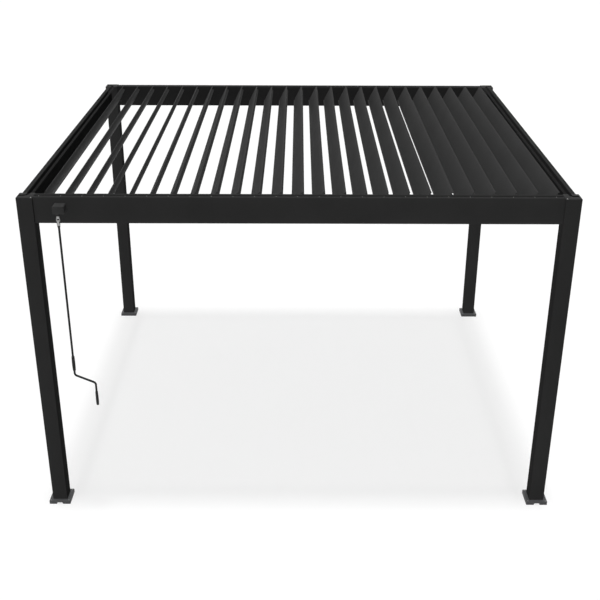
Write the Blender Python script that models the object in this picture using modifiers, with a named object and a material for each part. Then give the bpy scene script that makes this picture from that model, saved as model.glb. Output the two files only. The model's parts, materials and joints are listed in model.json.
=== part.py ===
"""Louvred garden pergola in powder-coated aluminium.

Four posts on low feet carry four gutter beams. Twenty-five blades turn together between the
beams, tied by one drive bar. A gearbox on the front beam turns them through a universal joint
and a hanging crank.

Metres, +X to the right, +Y to the back, +Z up. The origin is on the ground, below the middle
of everything that is seen from above. The blades rest part open, as in the photograph.
"""

import math

import bmesh
import bpy
from mathutils import Matrix, Vector

# Overall size, over the posts
WIDTH = 4.0
DEPTH = 3.63
HEIGHT = 2.611

# Posts
POST = 0.116
POST_WALL = 0.003
POST_ROUND = 0.003

# Feet, each with a drain mouth in its outer edge
FOOT_REACH = 0.027
FOOT_HEIGHT = 0.030
FOOT_ROUND = 0.006
FOOT_CHAMFER = 0.005
MOUTH_WIDTH = 0.050
MOUTH_TOP_WIDTH = 0.036
MOUTH_HEIGHT = 0.015
MOUTH_DEPTH = 0.022
MOUTH_CORNER_RUN = 0.003
MOUTH_CORNER_RISE = 0.004

# Caps
CAP_THICKNESS = 0.005
CAP_CHAMFER = 0.002
CAP_PAD_INSET = 0.0125
CAP_PAD_HEIGHT = 0.0015
CAP_PAD_SLOPE = 0.0025

# Beams: gutter sections with an open slot along the top, set back from the posts
BEAM_SETBACK = 0.020
BEAM_THICKNESS = 0.084
BEAM_HEIGHT = 0.195
BEAM_WALL = 0.003
OUTER_FLANGE = 0.033
INNER_FLANGE = 0.023
FLANGE_LIP = 0.012
BEAM_CHAMFER = 0.0015

# Side beams have a trough inside, below a sloping soffit, where the outer blades' edges turn
TROUGH_LIP = 0.036
SOFFIT_EDGE = 0.0055
SOFFIT_FOOT = 0.049
EDGE_AIR = 0.003

# Blades, as they lie when closed. The closed roof tucks in below the side beams. The pivot
# is off the blade's middle, so that the outer blades' lips swing clear of the side beams
BLADE_COUNT = 25
EDGE_TUCK = 0.0165
PIVOT_SHIFT = -0.0026
BLADE_TILT = 60.5
PIVOT_DROP = 0.0629
PIVOT_OFFSET = 0.016
PIVOT_RADIUS = 0.005
PIVOT_END = 0.004
FRONT_GAP = 0.026
BACK_GAP = 0.018

# Blade section: a lip with a bead on the right that drops into its neighbour's rain channel,
# and a hook on the left that stands below its neighbour's lip
BLADE_UNDERSIDE = 0.0165
BLADE_EDGE_TOP = 0.0137
BLADE_LIP_TOP = 0.0190
BODY_SHORT = 0.010
BACK_SHORT = 0.0057
LIP_OVERLAP = 0.0212
LIP_THICKNESS = 0.0041
LIP_SLOPE = 0.0117
LIP_FALL = 0.0040
BEAD_WIDTH = 0.0082
BEAD_DROP = 0.0047
BEAD_ROUND = 0.0012
RIB_WIDTH = 0.0043
CHANNEL_WIDTH = 0.0150
CHANNEL_DEPTH = 0.0052
CHANNEL_SLOPE = 0.0015
HOOK_OVERLAP = 0.008
HOOK_WALL = 0.0028
HOOK_HEIGHT = 0.0105

# Drive bar, and the lever on each blade that it joins
LEVER_LENGTH = 0.050
LEVER_THICKNESS = 0.005
LEVER_END_RADIUS = 0.010
DRIVE_PIN_RADIUS = 0.004
DRIVE_PIN_END = 0.0005
BAR_HEIGHT = 0.024
BAR_THICKNESS = 0.006
BAR_AIR = 0.0135
BAR_END = 0.020
BAR_ROUND = 0.001

# Gearbox
GEARBOX_FROM_SIDE = 0.3055
SHAFT_OFFSET = 0.012
GEARBOX_WIDTH = 0.083
GEARBOX_DEPTH = 0.075
GEARBOX_HEIGHT = 0.058
GEARBOX_DROP = 0.043
GEARBOX_ROUND = 0.007
GEARBOX_NOSE_SHARE = 0.5
COLLAR_RADIUS = 0.015
COLLAR_HEIGHT = 0.019

# Universal joint
CRANK_FROM_BEAM = 0.050
JOINT_RADIUS = 0.013
JOINT_HUB = 0.018
JOINT_REACH = 0.018
JOINT_AIR = 0.002
JOINT_CHAMFER = 0.001
EAR_THICKNESS = 0.004
EAR_WIDTH = 0.011
CROSS_SIZE = 0.011
CROSS_PIN_RADIUS = 0.0025
SHAFT_RADIUS = 0.006
SHAFT_LENGTH = 0.035

# Crank. Its heights are measured from the upper elbow, which suits the hand
ROD_RADIUS = 0.0065
ELBOW_HEIGHT = 1.204
ARM_DROP = 0.068
CRANK_THROW = 0.153
ELBOW_RADIUS = 0.030
HUB_TAPER = 0.005
HUB_NECK = 0.002
HUB_SOCKET = 0.006

# Sleeve and grip, which spin on the crank between rings
SLEEVE_STRAIGHT = 0.018
SLEEVE_LENGTH = 0.117
SLEEVE_RADIUS = 0.0125
GRIP_STRAIGHT = 0.055
GRIP_LENGTH = 0.115
GRIP_RADIUS = 0.011
GRIP_END = 0.004
GRIP_NOSE = 0.003
GRIP_CHAMFER = 0.0015
RING_RADIUS = 0.0095
RING_HEIGHT = 0.004

# Air between pieces that turn, and between fixed pieces that touch
PIN_PLAY = 0.0004
CROSS_PLAY = 0.0002
GRIP_PLAY = 0.0006
END_PLAY = 0.0005
SEAM = 0.0003

# How far joined solids reach into each other, and cutters beyond what they cut
OVERLAP = 0.003
OVERRUN = 0.010
MERGE = 0.00001

# Facets of round pieces
PIN_SIDES = 10
GRIP_SIDES = 16
ROD_RESOLUTION = 4
CORNER_STEPS = 2
ELBOW_STEPS = 4
LEVER_STEPS = 5
EAR_STEPS = 6
SHARP_ANGLE = math.radians(40)

# Places that follow from the sizes above
GEARBOX_REACH = GEARBOX_DEPTH - BEAM_SETBACK
FRONT = -(DEPTH + FOOT_REACH - GEARBOX_REACH) / 2
BACK = FRONT + DEPTH
LEFT = -WIDTH / 2
RIGHT = WIDTH / 2
POST_TOP = HEIGHT - CAP_THICKNESS
FRONT_FACE = FRONT + BEAM_SETBACK
BACK_FACE = BACK - BEAM_SETBACK
INNER_SIDE = WIDTH / 2 - BEAM_SETBACK - BEAM_THICKNESS
INNER_FRONT = FRONT_FACE + BEAM_THICKNESS
INNER_BACK = BACK_FACE - BEAM_THICKNESS
TROUGH_DEPTH = EDGE_TUCK + HOOK_OVERLAP + PIVOT_OFFSET - PIVOT_SHIFT + EDGE_AIR
PITCH = 2 * (INNER_SIDE + EDGE_TUCK) / BLADE_COUNT
BLADE_PLACES = [PIVOT_SHIFT + PITCH * (i - (BLADE_COUNT - 1) / 2) for i in range(BLADE_COUNT)]
PIVOT_HEIGHT = HEIGHT - PIVOT_DROP
BLADE_FRONT = INNER_FRONT + FRONT_GAP
BLADE_BACK = INNER_BACK - BACK_GAP
LEAD_BLADE = 1
LEVER_ANGLE = math.radians(-90 - BLADE_TILT)
BAR_FRONT = INNER_FRONT + BAR_AIR
GEARBOX_X = LEFT + GEARBOX_FROM_SIDE
CRANK_X = GEARBOX_X - SHAFT_OFFSET
CRANK_Y = FRONT_FACE - CRANK_FROM_BEAM
GEARBOX_TOP = HEIGHT - GEARBOX_DROP
GEARBOX_BOTTOM = GEARBOX_TOP - GEARBOX_HEIGHT
COLLAR_BOTTOM = GEARBOX_BOTTOM - COLLAR_HEIGHT
UPPER_HUB_TOP = COLLAR_BOTTOM - JOINT_AIR
CROSS_HEIGHT = UPPER_HUB_TOP - JOINT_HUB - JOINT_REACH
BEND_LENGTH = ELBOW_RADIUS * math.tan(math.atan2(CRANK_THROW, ARM_DROP) / 2)
RING_SPACE = RING_HEIGHT + END_PLAY
SLEEVE_BOTTOM = ELBOW_HEIGHT + BEND_LENGTH + SLEEVE_STRAIGHT + RING_SPACE
SLEEVE_TOP = SLEEVE_BOTTOM + SLEEVE_LENGTH
GRIP_TOP = ELBOW_HEIGHT - ARM_DROP - BEND_LENGTH - GRIP_STRAIGHT - RING_SPACE
GRIP_BOTTOM = GRIP_TOP - GRIP_LENGTH

# Corners: a name, the post's middle, and which way its outer side faces
CORNERS = [
    (f"{depth}_{side}", x, y, turn)
    for depth, y, turn in (("front", FRONT + POST / 2, 0), ("back", BACK - POST / 2, 180))
    for side, x in (("left", LEFT + POST / 2), ("right", RIGHT - POST / 2))
]

# Finish: colour, metallic, roughness
FINISHES = {
    "frame": ((0.030, 0.031, 0.033), 0.0, 0.45),
    "blade": ((0.042, 0.043, 0.045), 0.0, 0.42),
    "foot": ((0.090, 0.092, 0.096), 0.0, 0.50),
    "cap": ((0.035, 0.036, 0.038), 0.0, 0.55),
    "gearbox": ((0.034, 0.035, 0.037), 0.0, 0.50),
    "bar": ((0.420, 0.425, 0.430), 0.9, 0.40),
    "joint": ((0.550, 0.555, 0.560), 1.0, 0.30),
    "rod": ((0.030, 0.031, 0.033), 0.0, 0.40),
    "grip": ((0.012, 0.012, 0.013), 0.0, 0.60),
}

# A plate whose outline is drawn in the XZ plane and whose thickness runs along Y
STANDING = Matrix.Rotation(math.pi / 2, 4, "X")


def clear_scene():
    """Remove the startup objects and make the two collections."""
    for item in list(bpy.data.objects):
        bpy.data.objects.remove(item, do_unlink=True)
    parts = bpy.data.collections.new("Louvred pergola")
    cutters = bpy.data.collections.new("Cutters and tools")
    cutters.hide_render = True
    bpy.context.scene.collection.children.link(parts)
    bpy.context.scene.collection.children.link(cutters)
    return parts, cutters


def make_finishes():
    """One plain material for each finish."""
    made = {}
    for name, (colour, metallic, roughness) in FINISHES.items():
        material = bpy.data.materials.new(name)
        material.use_nodes = True
        shader = material.node_tree.nodes["Principled BSDF"]
        shader.inputs["Base Color"].default_value = (*colour, 1.0)
        shader.inputs["Metallic"].default_value = metallic
        shader.inputs["Roughness"].default_value = roughness
        made[name] = material
    return made


def place_part(name, data, finish, place):
    """Link a mesh or a curve as a visible part. Without a finish it is a hidden tool."""
    item = bpy.data.objects.new(name, data)
    item.matrix_world = place
    if finish:
        if not data.materials:
            data.materials.append(finishes[finish])
        parts.objects.link(item)
    else:
        item.hide_render = True
        item.display_type = "WIRE"
        cutters.objects.link(item)
    return item


def at(x, y, z=0.0, turn=0.0):
    """A place, turned about Z by so many degrees."""
    return Matrix.Translation((x, y, z)) @ Matrix.Rotation(math.radians(turn), 4, "Z")


def plate(name, outlines, thickness, finish, place):
    """A flat outline with a thickness. A second outline is a hole."""
    curve = bpy.data.curves.new(name, "CURVE")
    curve.dimensions = "2D"
    curve.fill_mode = "BOTH"
    curve.extrude = thickness / 2
    for outline in outlines:
        spline = curve.splines.new("POLY")
        spline.points.add(len(outline) - 1)
        for point, (x, y) in zip(spline.points, outline):
            point.co = (x, y, 0.0, 1.0)
        spline.use_cyclic_u = True
        spline.use_smooth = False
    return place_part(name, curve, finish, place)


def rod(name, path, radius, finish, place):
    """A round bar along a path in the XZ plane."""
    curve = bpy.data.curves.new(name, "CURVE")
    curve.dimensions = "3D"
    curve.bevel_depth = radius
    curve.bevel_resolution = ROD_RESOLUTION
    curve.use_fill_caps = True
    spline = curve.splines.new("POLY")
    spline.points.add(len(path) - 1)
    for point, (x, z) in zip(spline.points, path):
        point.co = (x, 0.0, z, 1.0)
    return place_part(name, curve, finish, place)


def as_mesh(drawn):
    """Replace a curve by its mesh, with the caps welded on, so that it can be cut and joined."""
    bpy.context.view_layer.update()
    graph = bpy.context.evaluated_depsgraph_get()
    mesh = bpy.data.meshes.new_from_object(drawn.evaluated_get(graph))
    shape = bmesh.new()
    shape.from_mesh(mesh)
    bmesh.ops.remove_doubles(shape, verts=shape.verts, dist=MERGE)
    shape.to_mesh(mesh)
    shape.free()
    name = drawn.name
    drawn.name = f"{name}_curve"
    mesh.name = name
    item = bpy.data.objects.new(name, mesh)
    item.matrix_world = drawn.matrix_world
    item.hide_render = drawn.hide_render
    item.display_type = drawn.display_type
    drawn.users_collection[0].objects.link(item)
    bpy.data.objects.remove(drawn, do_unlink=True)
    return item


def turned(name, profile, finish, place, ring=False):
    """A round piece about Z. Its profile runs down the outer side, and a ring's comes back up."""
    count = len(profile)
    edges = [(i, i + 1) for i in range(count - 1)]
    if ring:
        edges.append((count - 1, 0))
    mesh = bpy.data.meshes.new(name)
    mesh.from_pydata([(radius, 0.0, height) for radius, height in profile], edges, [])
    item = place_part(name, mesh, finish, place)
    step = item.modifiers.new("Turn", "SCREW")
    step.steps = GRIP_SIDES
    step.render_steps = GRIP_SIDES
    step.use_merge_vertices = True
    step.merge_threshold = MERGE
    return item


def block(name, low, high, finish, place):
    """A box between two corners."""
    size = Vector(high) - Vector(low)
    middle = (Vector(high) + Vector(low)) / 2
    shape = bmesh.new()
    fitted = Matrix.Translation(middle) @ Matrix.Diagonal((*size, 1.0))
    bmesh.ops.create_cube(shape, size=1.0, matrix=fitted)
    mesh = bpy.data.meshes.new(name)
    shape.to_mesh(mesh)
    shape.free()
    return place_part(name, mesh, finish, place)


def soften(item, radius, segments, share):
    """Round a box's edges. share gives the part of the radius that an edge takes."""
    weights = item.data.attributes.new("bevel_weight_edge", "FLOAT", "EDGE")
    for edge in item.data.edges:
        first, second = (item.data.vertices[i].co for i in edge.vertices)
        weights.data[edge.index].value = share(first, second)
    step = item.modifiers.new("Rounded edges", "BEVEL")
    step.limit_method = "WEIGHT"
    step.width = radius
    step.segments = segments
    return item


def pins(name, radius, spans, finish, place, along="Y"):
    """Round pins of one radius along one axis, each from start to end at its own centre."""
    turn = {"X": Matrix.Rotation(math.pi / 2, 4, "Y"), "Y": STANDING, "Z": Matrix.Identity(4)}
    shape = bmesh.new()
    for centre, start, end in spans:
        middle = Vector(centre)
        middle["XYZ".index(along)] = (start + end) / 2
        bmesh.ops.create_cone(
            shape,
            cap_ends=True,
            segments=PIN_SIDES,
            radius1=radius,
            radius2=radius,
            depth=end - start,
            matrix=Matrix.Translation(middle) @ turn[along],
        )
    mesh = bpy.data.meshes.new(name)
    shape.to_mesh(mesh)
    shape.free()
    return place_part(name, mesh, finish, place)


def join(item, other):
    """Weld another solid onto this one."""
    combine(item, "UNION", other)


def cut(item, other):
    """Cut another solid out of this one."""
    combine(item, "DIFFERENCE", other)


def combine(item, operation, other):
    step = item.modifiers.new(f"{operation.title()} {other.name}", "BOOLEAN")
    step.operation = operation
    step.solver = "EXACT"
    step.object = other


def settle(item):
    """Make the modifiers' result the object's own mesh, smooth between its sharp edges."""
    bpy.context.view_layer.update()
    graph = bpy.context.evaluated_depsgraph_get()
    mesh = bpy.data.meshes.new_from_object(item.evaluated_get(graph))
    item.modifiers.clear()
    item.data = mesh
    mesh.name = item.name
    mesh.shade_smooth()
    mesh.set_sharp_from_angle(angle=SHARP_ANGLE)
    return item


def rounded_square(size, radius):
    """The outline of a square with round corners, centred."""
    middle = size / 2 - radius
    outline = []
    for corner, (x, y) in enumerate([(1, 1), (-1, 1), (-1, -1), (1, -1)]):
        for i in range(CORNER_STEPS + 1):
            a = math.pi / 2 * (corner + i / CORNER_STEPS)
            outline.append((middle * x + radius * math.cos(a), middle * y + radius * math.sin(a)))
    return outline


def build_posts():
    """Square tubes that stand on the feet and are closed by caps."""
    outer = rounded_square(POST, POST_ROUND)
    inner = rounded_square(POST - 2 * POST_WALL, POST_ROUND - POST_WALL / 2)
    low = FOOT_HEIGHT + SEAM
    high = POST_TOP - SEAM
    for name, x, y, _ in CORNERS:
        plate(f"post_{name}", [outer, inner], high - low, "frame", at(x, y, (low + high) / 2))


def build_feet():
    """Low bases with chamfered tops, each with a drain mouth in its outer edge."""
    half = POST / 2 + FOOT_REACH
    side = MOUTH_WIDTH / 2
    top = MOUTH_TOP_WIDTH / 2
    shoulder = MOUTH_HEIGHT - MOUTH_CORNER_RISE
    right_half = [
        (side, -OVERRUN),
        (side, 0.0),
        (top + MOUTH_CORNER_RUN, shoulder),
        (top - MOUTH_CORNER_RUN, MOUTH_HEIGHT),
    ]
    outline = right_half + [(-x, z) for x, z in reversed(right_half)]

    def share(first, second):
        if abs(first.z - second.z) > MERGE:
            return 1.0
        return FOOT_CHAMFER / FOOT_ROUND if first.z > 0 else 0.0

    for name, x, y, turn in CORNERS:
        place = at(x, y, 0.0, turn)
        foot = block(f"foot_{name}", (-half, -half, 0.0), (half, half, FOOT_HEIGHT), "foot", place)
        soften(foot, FOOT_ROUND, CORNER_STEPS, share)
        middle = -half + (MOUTH_DEPTH - OVERRUN) / 2
        drawn = place @ Matrix.Translation((0.0, middle, 0.0)) @ STANDING
        mouth = plate(f"mouth_{name}", [outline], MOUTH_DEPTH + OVERRUN, None, drawn)
        cut(foot, as_mesh(mouth))


def build_caps():
    """Square covers on the posts, each with a raised pad that has sloping sides."""
    half = POST / 2

    def share(first, second):
        if abs(first.z - second.z) > MERGE:
            return 1.0
        on_rim = all(max(abs(p.x), abs(p.y)) > half - MERGE and p.z > 0 for p in (first, second))
        return CAP_CHAMFER / POST_ROUND if on_rim else 0.0

    for name, x, y, _ in CORNERS:
        size = (half, half, CAP_THICKNESS)
        cap = block(f"cap_{name}", (-half, -half, 0.0), size, "cap", at(x, y, POST_TOP))
        soften(cap, POST_ROUND, CORNER_STEPS, share)
        low = CAP_THICKNESS - OVERLAP
        high = CAP_THICKNESS + CAP_PAD_HEIGHT
        reach = half - CAP_PAD_INSET
        corners = ((-reach, -reach, low), (reach, reach, high))
        pad = block(f"pad_{name}", *corners, None, at(x, y, POST_TOP))
        soften(pad, CAP_PAD_SLOPE, 1, lambda first, second: min(first.z, second.z) > high - MERGE)
        join(cap, pad)


def flange_section():
    """The slot's outer flange and the outer face: the part that all the beams share."""
    tall, wall, edge = BEAM_HEIGHT, BEAM_WALL, BEAM_CHAMFER
    return [
        (wall, wall),
        (wall, tall - wall),
        (OUTER_FLANGE - wall, tall - wall),
        (OUTER_FLANGE - wall, tall - FLANGE_LIP),
        (OUTER_FLANGE, tall - FLANGE_LIP),
        (OUTER_FLANGE, tall),
        (edge, tall),
        (0.0, tall - edge),
        (0.0, edge),
        (edge, 0.0),
    ]


def box_section():
    """The front and back beams, as (distance in from the outer face, height) points."""
    thick, tall, wall, edge = BEAM_THICKNESS, BEAM_HEIGHT, BEAM_WALL, BEAM_CHAMFER
    slot_in = thick - INNER_FLANGE
    return flange_section() + [
        (thick - edge, 0.0),
        (thick, edge),
        (thick, tall - edge),
        (thick - edge, tall),
        (slot_in, tall),
        (slot_in, tall - FLANGE_LIP),
        (slot_in + wall, tall - FLANGE_LIP),
        (slot_in + wall, tall - wall),
        (thick - wall, tall - wall),
        (thick - wall, wall),
    ]


def trough_section():
    """The side beams: a trough inside catches what drips from the outer blades' edges."""
    thick, tall, wall, edge = BEAM_THICKNESS, BEAM_HEIGHT, BEAM_WALL, BEAM_CHAMFER
    slot_in = thick - INNER_FLANGE
    back = thick - TROUGH_DEPTH
    foot = tall - SOFFIT_FOOT
    rise = (tall - SOFFIT_EDGE - foot) / TROUGH_DEPTH
    over = wall * math.hypot(1.0, rise)
    return flange_section() + [
        (thick - edge, 0.0),
        (thick, edge),
        (thick, TROUGH_LIP),
        (thick - wall, TROUGH_LIP),
        (thick - wall, wall),
        (back, wall),
        (back, foot),
        (thick, tall - SOFFIT_EDGE),
        (thick, tall - edge),
        (thick - edge, tall),
        (slot_in, tall),
        (slot_in, foot + rise * (slot_in - back) + over),
        (back - wall, foot - rise * wall + over),
        (back - wall, wall),
    ]


def facing(origin, inward):
    """A place whose X points inward and whose Y points up, for a section drawn from outside."""
    up = Vector((0.0, 0.0, 1.0))
    inward = Vector(inward)
    turned_to = Matrix((inward, up, inward.cross(up))).transposed().to_4x4()
    return Matrix.Translation(origin) @ turned_to


def build_beams():
    """Four gutter beams between the posts. The front and back ones are bored for the blades."""
    base = HEIGHT - BEAM_HEIGHT
    along_x = WIDTH - 2 * POST - 2 * SEAM
    along_y = DEPTH - 2 * POST - 2 * SEAM
    middle = (FRONT + BACK) / 2
    side = WIDTH / 2 - BEAM_SETBACK
    ends = (box_section(), along_x)
    sides = (trough_section(), along_y)
    places = {
        "beam_front": (*ends, facing((0.0, FRONT_FACE, base), (0, 1, 0))),
        "beam_back": (*ends, facing((0.0, BACK_FACE, base), (0, -1, 0))),
        "beam_left": (*sides, facing((-side, middle, base), (1, 0, 0))),
        "beam_right": (*sides, facing((side, middle, base), (-1, 0, 0))),
    }
    beams = {
        name: plate(name, [section], length, "frame", place)
        for name, (section, length, place) in places.items()
    }
    for name, wall in (("beam_front", INNER_FRONT), ("beam_back", INNER_BACK)):
        spans = [((x, 0.0, PIVOT_HEIGHT), wall - OVERRUN, wall + OVERRUN) for x in BLADE_PLACES]
        bores = pins(f"bores_{name}", PIVOT_RADIUS + PIN_PLAY, spans, None, Matrix.Identity(4))
        cut(as_mesh(beams[name]), bores)


def blade_section():
    """The closed blade's outline about its pivot, from the hook's foot to the right and round."""
    right = PITCH / 2 - PIVOT_OFFSET
    left = -PITCH / 2 - PIVOT_OFFSET
    body_right = right - BODY_SHORT
    body_left = left + BACK_SHORT
    lip_end = right + LIP_OVERLAP
    bead = lip_end - BEAD_WIDTH
    hook_end = left - HOOK_OVERLAP
    under = -BLADE_UNDERSIDE
    lip_under = BLADE_LIP_TOP - LIP_THICKNESS
    bead_under = lip_under - BEAD_DROP
    channel = body_left + RIB_WIDTH + CHANNEL_SLOPE
    channel_end = channel + CHANNEL_WIDTH
    floor = BLADE_EDGE_TOP - CHANNEL_DEPTH
    return [
        (hook_end, under),
        (body_right, under),
        (body_right, lip_under),
        (bead - BEAD_ROUND, lip_under),
        (bead, bead_under),
        (lip_end - BEAD_ROUND, bead_under),
        (lip_end, bead_under + BEAD_ROUND),
        (lip_end, BLADE_LIP_TOP - LIP_FALL),
        (lip_end - LIP_SLOPE, BLADE_LIP_TOP),
        (channel_end + CHANNEL_SLOPE, BLADE_EDGE_TOP),
        (channel_end, floor),
        (channel, floor),
        (channel - CHANNEL_SLOPE, BLADE_EDGE_TOP),
        (body_left, BLADE_EDGE_TOP),
        (body_left, under + HOOK_WALL),
        (hook_end + HOOK_WALL, under + HOOK_WALL),
        (hook_end + HOOK_WALL, under + HOOK_HEIGHT),
        (hook_end, under + HOOK_HEIGHT),
    ]


def lever_outline(far):
    """The lever's outline about the pivot: two round ends joined by straight sides."""
    outline = []
    for centre, heading in ((Vector((0.0, 0.0)), LEVER_ANGLE + math.pi), (far, LEVER_ANGLE)):
        for i in range(LEVER_STEPS + 1):
            a = heading - math.pi / 2 + math.pi * i / LEVER_STEPS
            outline.append(centre + LEVER_END_RADIUS * Vector((math.cos(a), math.sin(a))))
    return outline


def build_blades():
    """One blade with its pins and lever, then the same mesh at every place."""
    length = BLADE_BACK - BLADE_FRONT
    drawn = Matrix.Translation((0.0, (BLADE_FRONT + BLADE_BACK) / 2, 0.0)) @ STANDING
    master = as_mesh(plate("blade", [blade_section()], length, None, drawn))

    far = LEVER_LENGTH * Vector((math.cos(LEVER_ANGLE), math.sin(LEVER_ANGLE)))
    lever_front = BLADE_FRONT - LEVER_THICKNESS
    lever_thickness = LEVER_THICKNESS + OVERLAP
    drawn = Matrix.Translation((0.0, lever_front + lever_thickness / 2, 0.0)) @ STANDING
    join(master, as_mesh(plate("lever", [lever_outline(far)], lever_thickness, None, drawn)))

    inside = lever_front + OVERLAP
    drive = [((far.x, 0.0, far.y), BAR_FRONT - DRIVE_PIN_END, inside)]
    join(master, pins("drive_pin", DRIVE_PIN_RADIUS, drive, None, Matrix.Identity(4)))
    reach = BEAM_WALL + PIVOT_END
    front = [((0.0, 0.0, 0.0), INNER_FRONT - reach, inside)]
    back = [((0.0, 0.0, 0.0), BLADE_BACK - OVERRUN, INNER_BACK + reach)]
    join(master, pins("front_pin", PIVOT_RADIUS, front, None, Matrix.Identity(4)))
    join(master, pins("back_pin", PIVOT_RADIUS, back, None, Matrix.Identity(4)))
    settle(master)
    master.data.transform(master.matrix_world)
    master.matrix_world = Matrix.Identity(4)

    tilt = Matrix.Rotation(math.radians(-BLADE_TILT), 4, "Y")
    for i, x in enumerate(BLADE_PLACES):
        place = Matrix.Translation((x, 0.0, PIVOT_HEIGHT)) @ tilt
        place_part(f"louvre_{i + 1:02d}", master.data, "blade", place)


def build_drive_bar():
    """A flat bar that all the levers' pins run in. Its origin is on the lead blade's pin."""
    lead = BLADE_PLACES[LEAD_BLADE]
    low = (BLADE_PLACES[0] - lead - BAR_END, 0.0, -BAR_HEIGHT / 2)
    high = (BLADE_PLACES[-1] - lead + BAR_END, BAR_THICKNESS, BAR_HEIGHT / 2)
    place = at(lead, BAR_FRONT, PIVOT_HEIGHT - LEVER_LENGTH)
    bar = block("drive_bar", low, high, "bar", place)
    soften(bar, BAR_ROUND, 1, lambda first, second: abs(first.x - second.x) > MERGE)
    spans = [((x - lead, 0.0, 0.0), -OVERRUN, BAR_THICKNESS + OVERRUN) for x in BLADE_PLACES]
    cut(bar, pins("bar_holes", DRIVE_PIN_RADIUS + PIN_PLAY, spans, None, place))


def build_gearbox():
    """A rounded housing on the front beam, with a bored collar below."""
    wide = GEARBOX_WIDTH / 2
    tall = GEARBOX_HEIGHT / 2
    nose = FRONT_FACE - GEARBOX_DEPTH
    rear = FRONT_FACE - SEAM
    place = at(GEARBOX_X, 0.0, GEARBOX_TOP - tall)
    gearbox = block("gearbox", (-wide, nose, -tall), (wide, rear, tall), "gearbox", place)

    def share(first, second):
        if abs(first.y - second.y) > MERGE:
            return 1.0
        return GEARBOX_NOSE_SHARE if first.y < nose + MERGE else 0.0

    soften(gearbox, GEARBOX_ROUND, CORNER_STEPS + 1, share)
    inside = GEARBOX_BOTTOM + GEARBOX_ROUND
    collar = [
        (0.0, inside),
        (COLLAR_RADIUS, inside),
        (COLLAR_RADIUS, COLLAR_BOTTOM + GRIP_CHAMFER),
        (COLLAR_RADIUS - GRIP_CHAMFER, COLLAR_BOTTOM),
        (0.0, COLLAR_BOTTOM),
    ]
    axis = at(CRANK_X, CRANK_Y)
    join(gearbox, turned("collar", collar, None, axis))
    radius = SHAFT_RADIUS + PIN_PLAY
    bore = [
        (0.0, UPPER_HUB_TOP + SHAFT_LENGTH + OVERLAP),
        (radius, UPPER_HUB_TOP + SHAFT_LENGTH + OVERLAP),
        (radius, COLLAR_BOTTOM - OVERRUN),
        (0.0, COLLAR_BOTTOM - OVERRUN),
    ]
    cut(gearbox, turned("shaft_bore", bore, None, axis))


def add_ears(owner, axis, centre, hub_side):
    """Two round-ended ears on a hub, one on each side of the cross, bored for its pins."""
    tip = EAR_WIDTH / 2
    root = hub_side * (JOINT_REACH + OVERLAP)
    outline = [(-tip, root), (tip, root)]
    for i in range(EAR_STEPS + 1):
        a = math.pi * i / EAR_STEPS
        outline.append((tip * math.cos(a), -hub_side * tip * math.sin(a)))
    turn = Matrix.Rotation(math.pi / 2, 4, "Z") if axis == "X" else Matrix.Identity(4)
    for side, sign in (("first", -1), ("second", 1)):
        offset = sign * (JOINT_RADIUS - EAR_THICKNESS / 2)
        place = centre @ turn @ Matrix.Translation((0.0, offset, 0.0)) @ STANDING
        name = f"{owner.name}_{side}_ear"
        join(owner, as_mesh(plate(name, [outline], EAR_THICKNESS, None, place)))
    reach = JOINT_RADIUS + OVERLAP
    spans = [((0.0, 0.0, 0.0), -reach, reach)]
    radius = CROSS_PIN_RADIUS + CROSS_PLAY
    cut(owner, pins(f"{owner.name}_ear_bore", radius, spans, None, centre, axis))


def build_universal_joint():
    """The upper yoke that the gearbox turns, and the cross that both yokes turn on."""
    centre = at(CRANK_X, CRANK_Y, CROSS_HEIGHT)
    hub_top = JOINT_REACH + JOINT_HUB
    profile = [
        (0.0, hub_top + SHAFT_LENGTH),
        (SHAFT_RADIUS, hub_top + SHAFT_LENGTH),
        (SHAFT_RADIUS, hub_top),
        (JOINT_RADIUS - JOINT_CHAMFER, hub_top),
        (JOINT_RADIUS, hub_top - JOINT_CHAMFER),
        (JOINT_RADIUS, JOINT_REACH + JOINT_CHAMFER),
        (JOINT_RADIUS - JOINT_CHAMFER, JOINT_REACH),
        (0.0, JOINT_REACH),
    ]
    yoke = turned("upper_yoke", profile, "joint", centre)
    add_ears(yoke, "X", centre, 1)
    settle(yoke)

    half = CROSS_SIZE / 2
    cross = block("joint_cross", (-half, -half, -half), (half, half, half), "joint", centre)
    soften(cross, JOINT_CHAMFER, 1, lambda first, second: 1.0)
    spans = [((0.0, 0.0, 0.0), -JOINT_RADIUS, JOINT_RADIUS)]
    join(cross, pins("cross_pin_x", CROSS_PIN_RADIUS, spans, None, centre, "X"))
    join(cross, pins("cross_pin_y", CROSS_PIN_RADIUS, spans, None, centre, "Y"))
    settle(cross)


def crank_path():
    """The crank's centre line, with rounded elbows, from the lower hub to inside the grip."""
    corners = [
        Vector((0.0, CROSS_HEIGHT - JOINT_REACH - JOINT_HUB + HUB_SOCKET)),
        Vector((0.0, ELBOW_HEIGHT)),
        Vector((CRANK_THROW, ELBOW_HEIGHT - ARM_DROP)),
        Vector((CRANK_THROW, GRIP_BOTTOM + GRIP_END + END_PLAY)),
    ]
    path = [corners[0]]
    for before, corner, after in zip(corners, corners[1:], corners[2:]):
        inward = (before - corner).normalized() * BEND_LENGTH
        outward = (after - corner).normalized() * BEND_LENGTH
        for i in range(ELBOW_STEPS + 1):
            t = i / ELBOW_STEPS
            path.append((corner + inward * (1 - t)).lerp(corner + outward * t, t))
    path.append(corners[-1])
    return path


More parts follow.
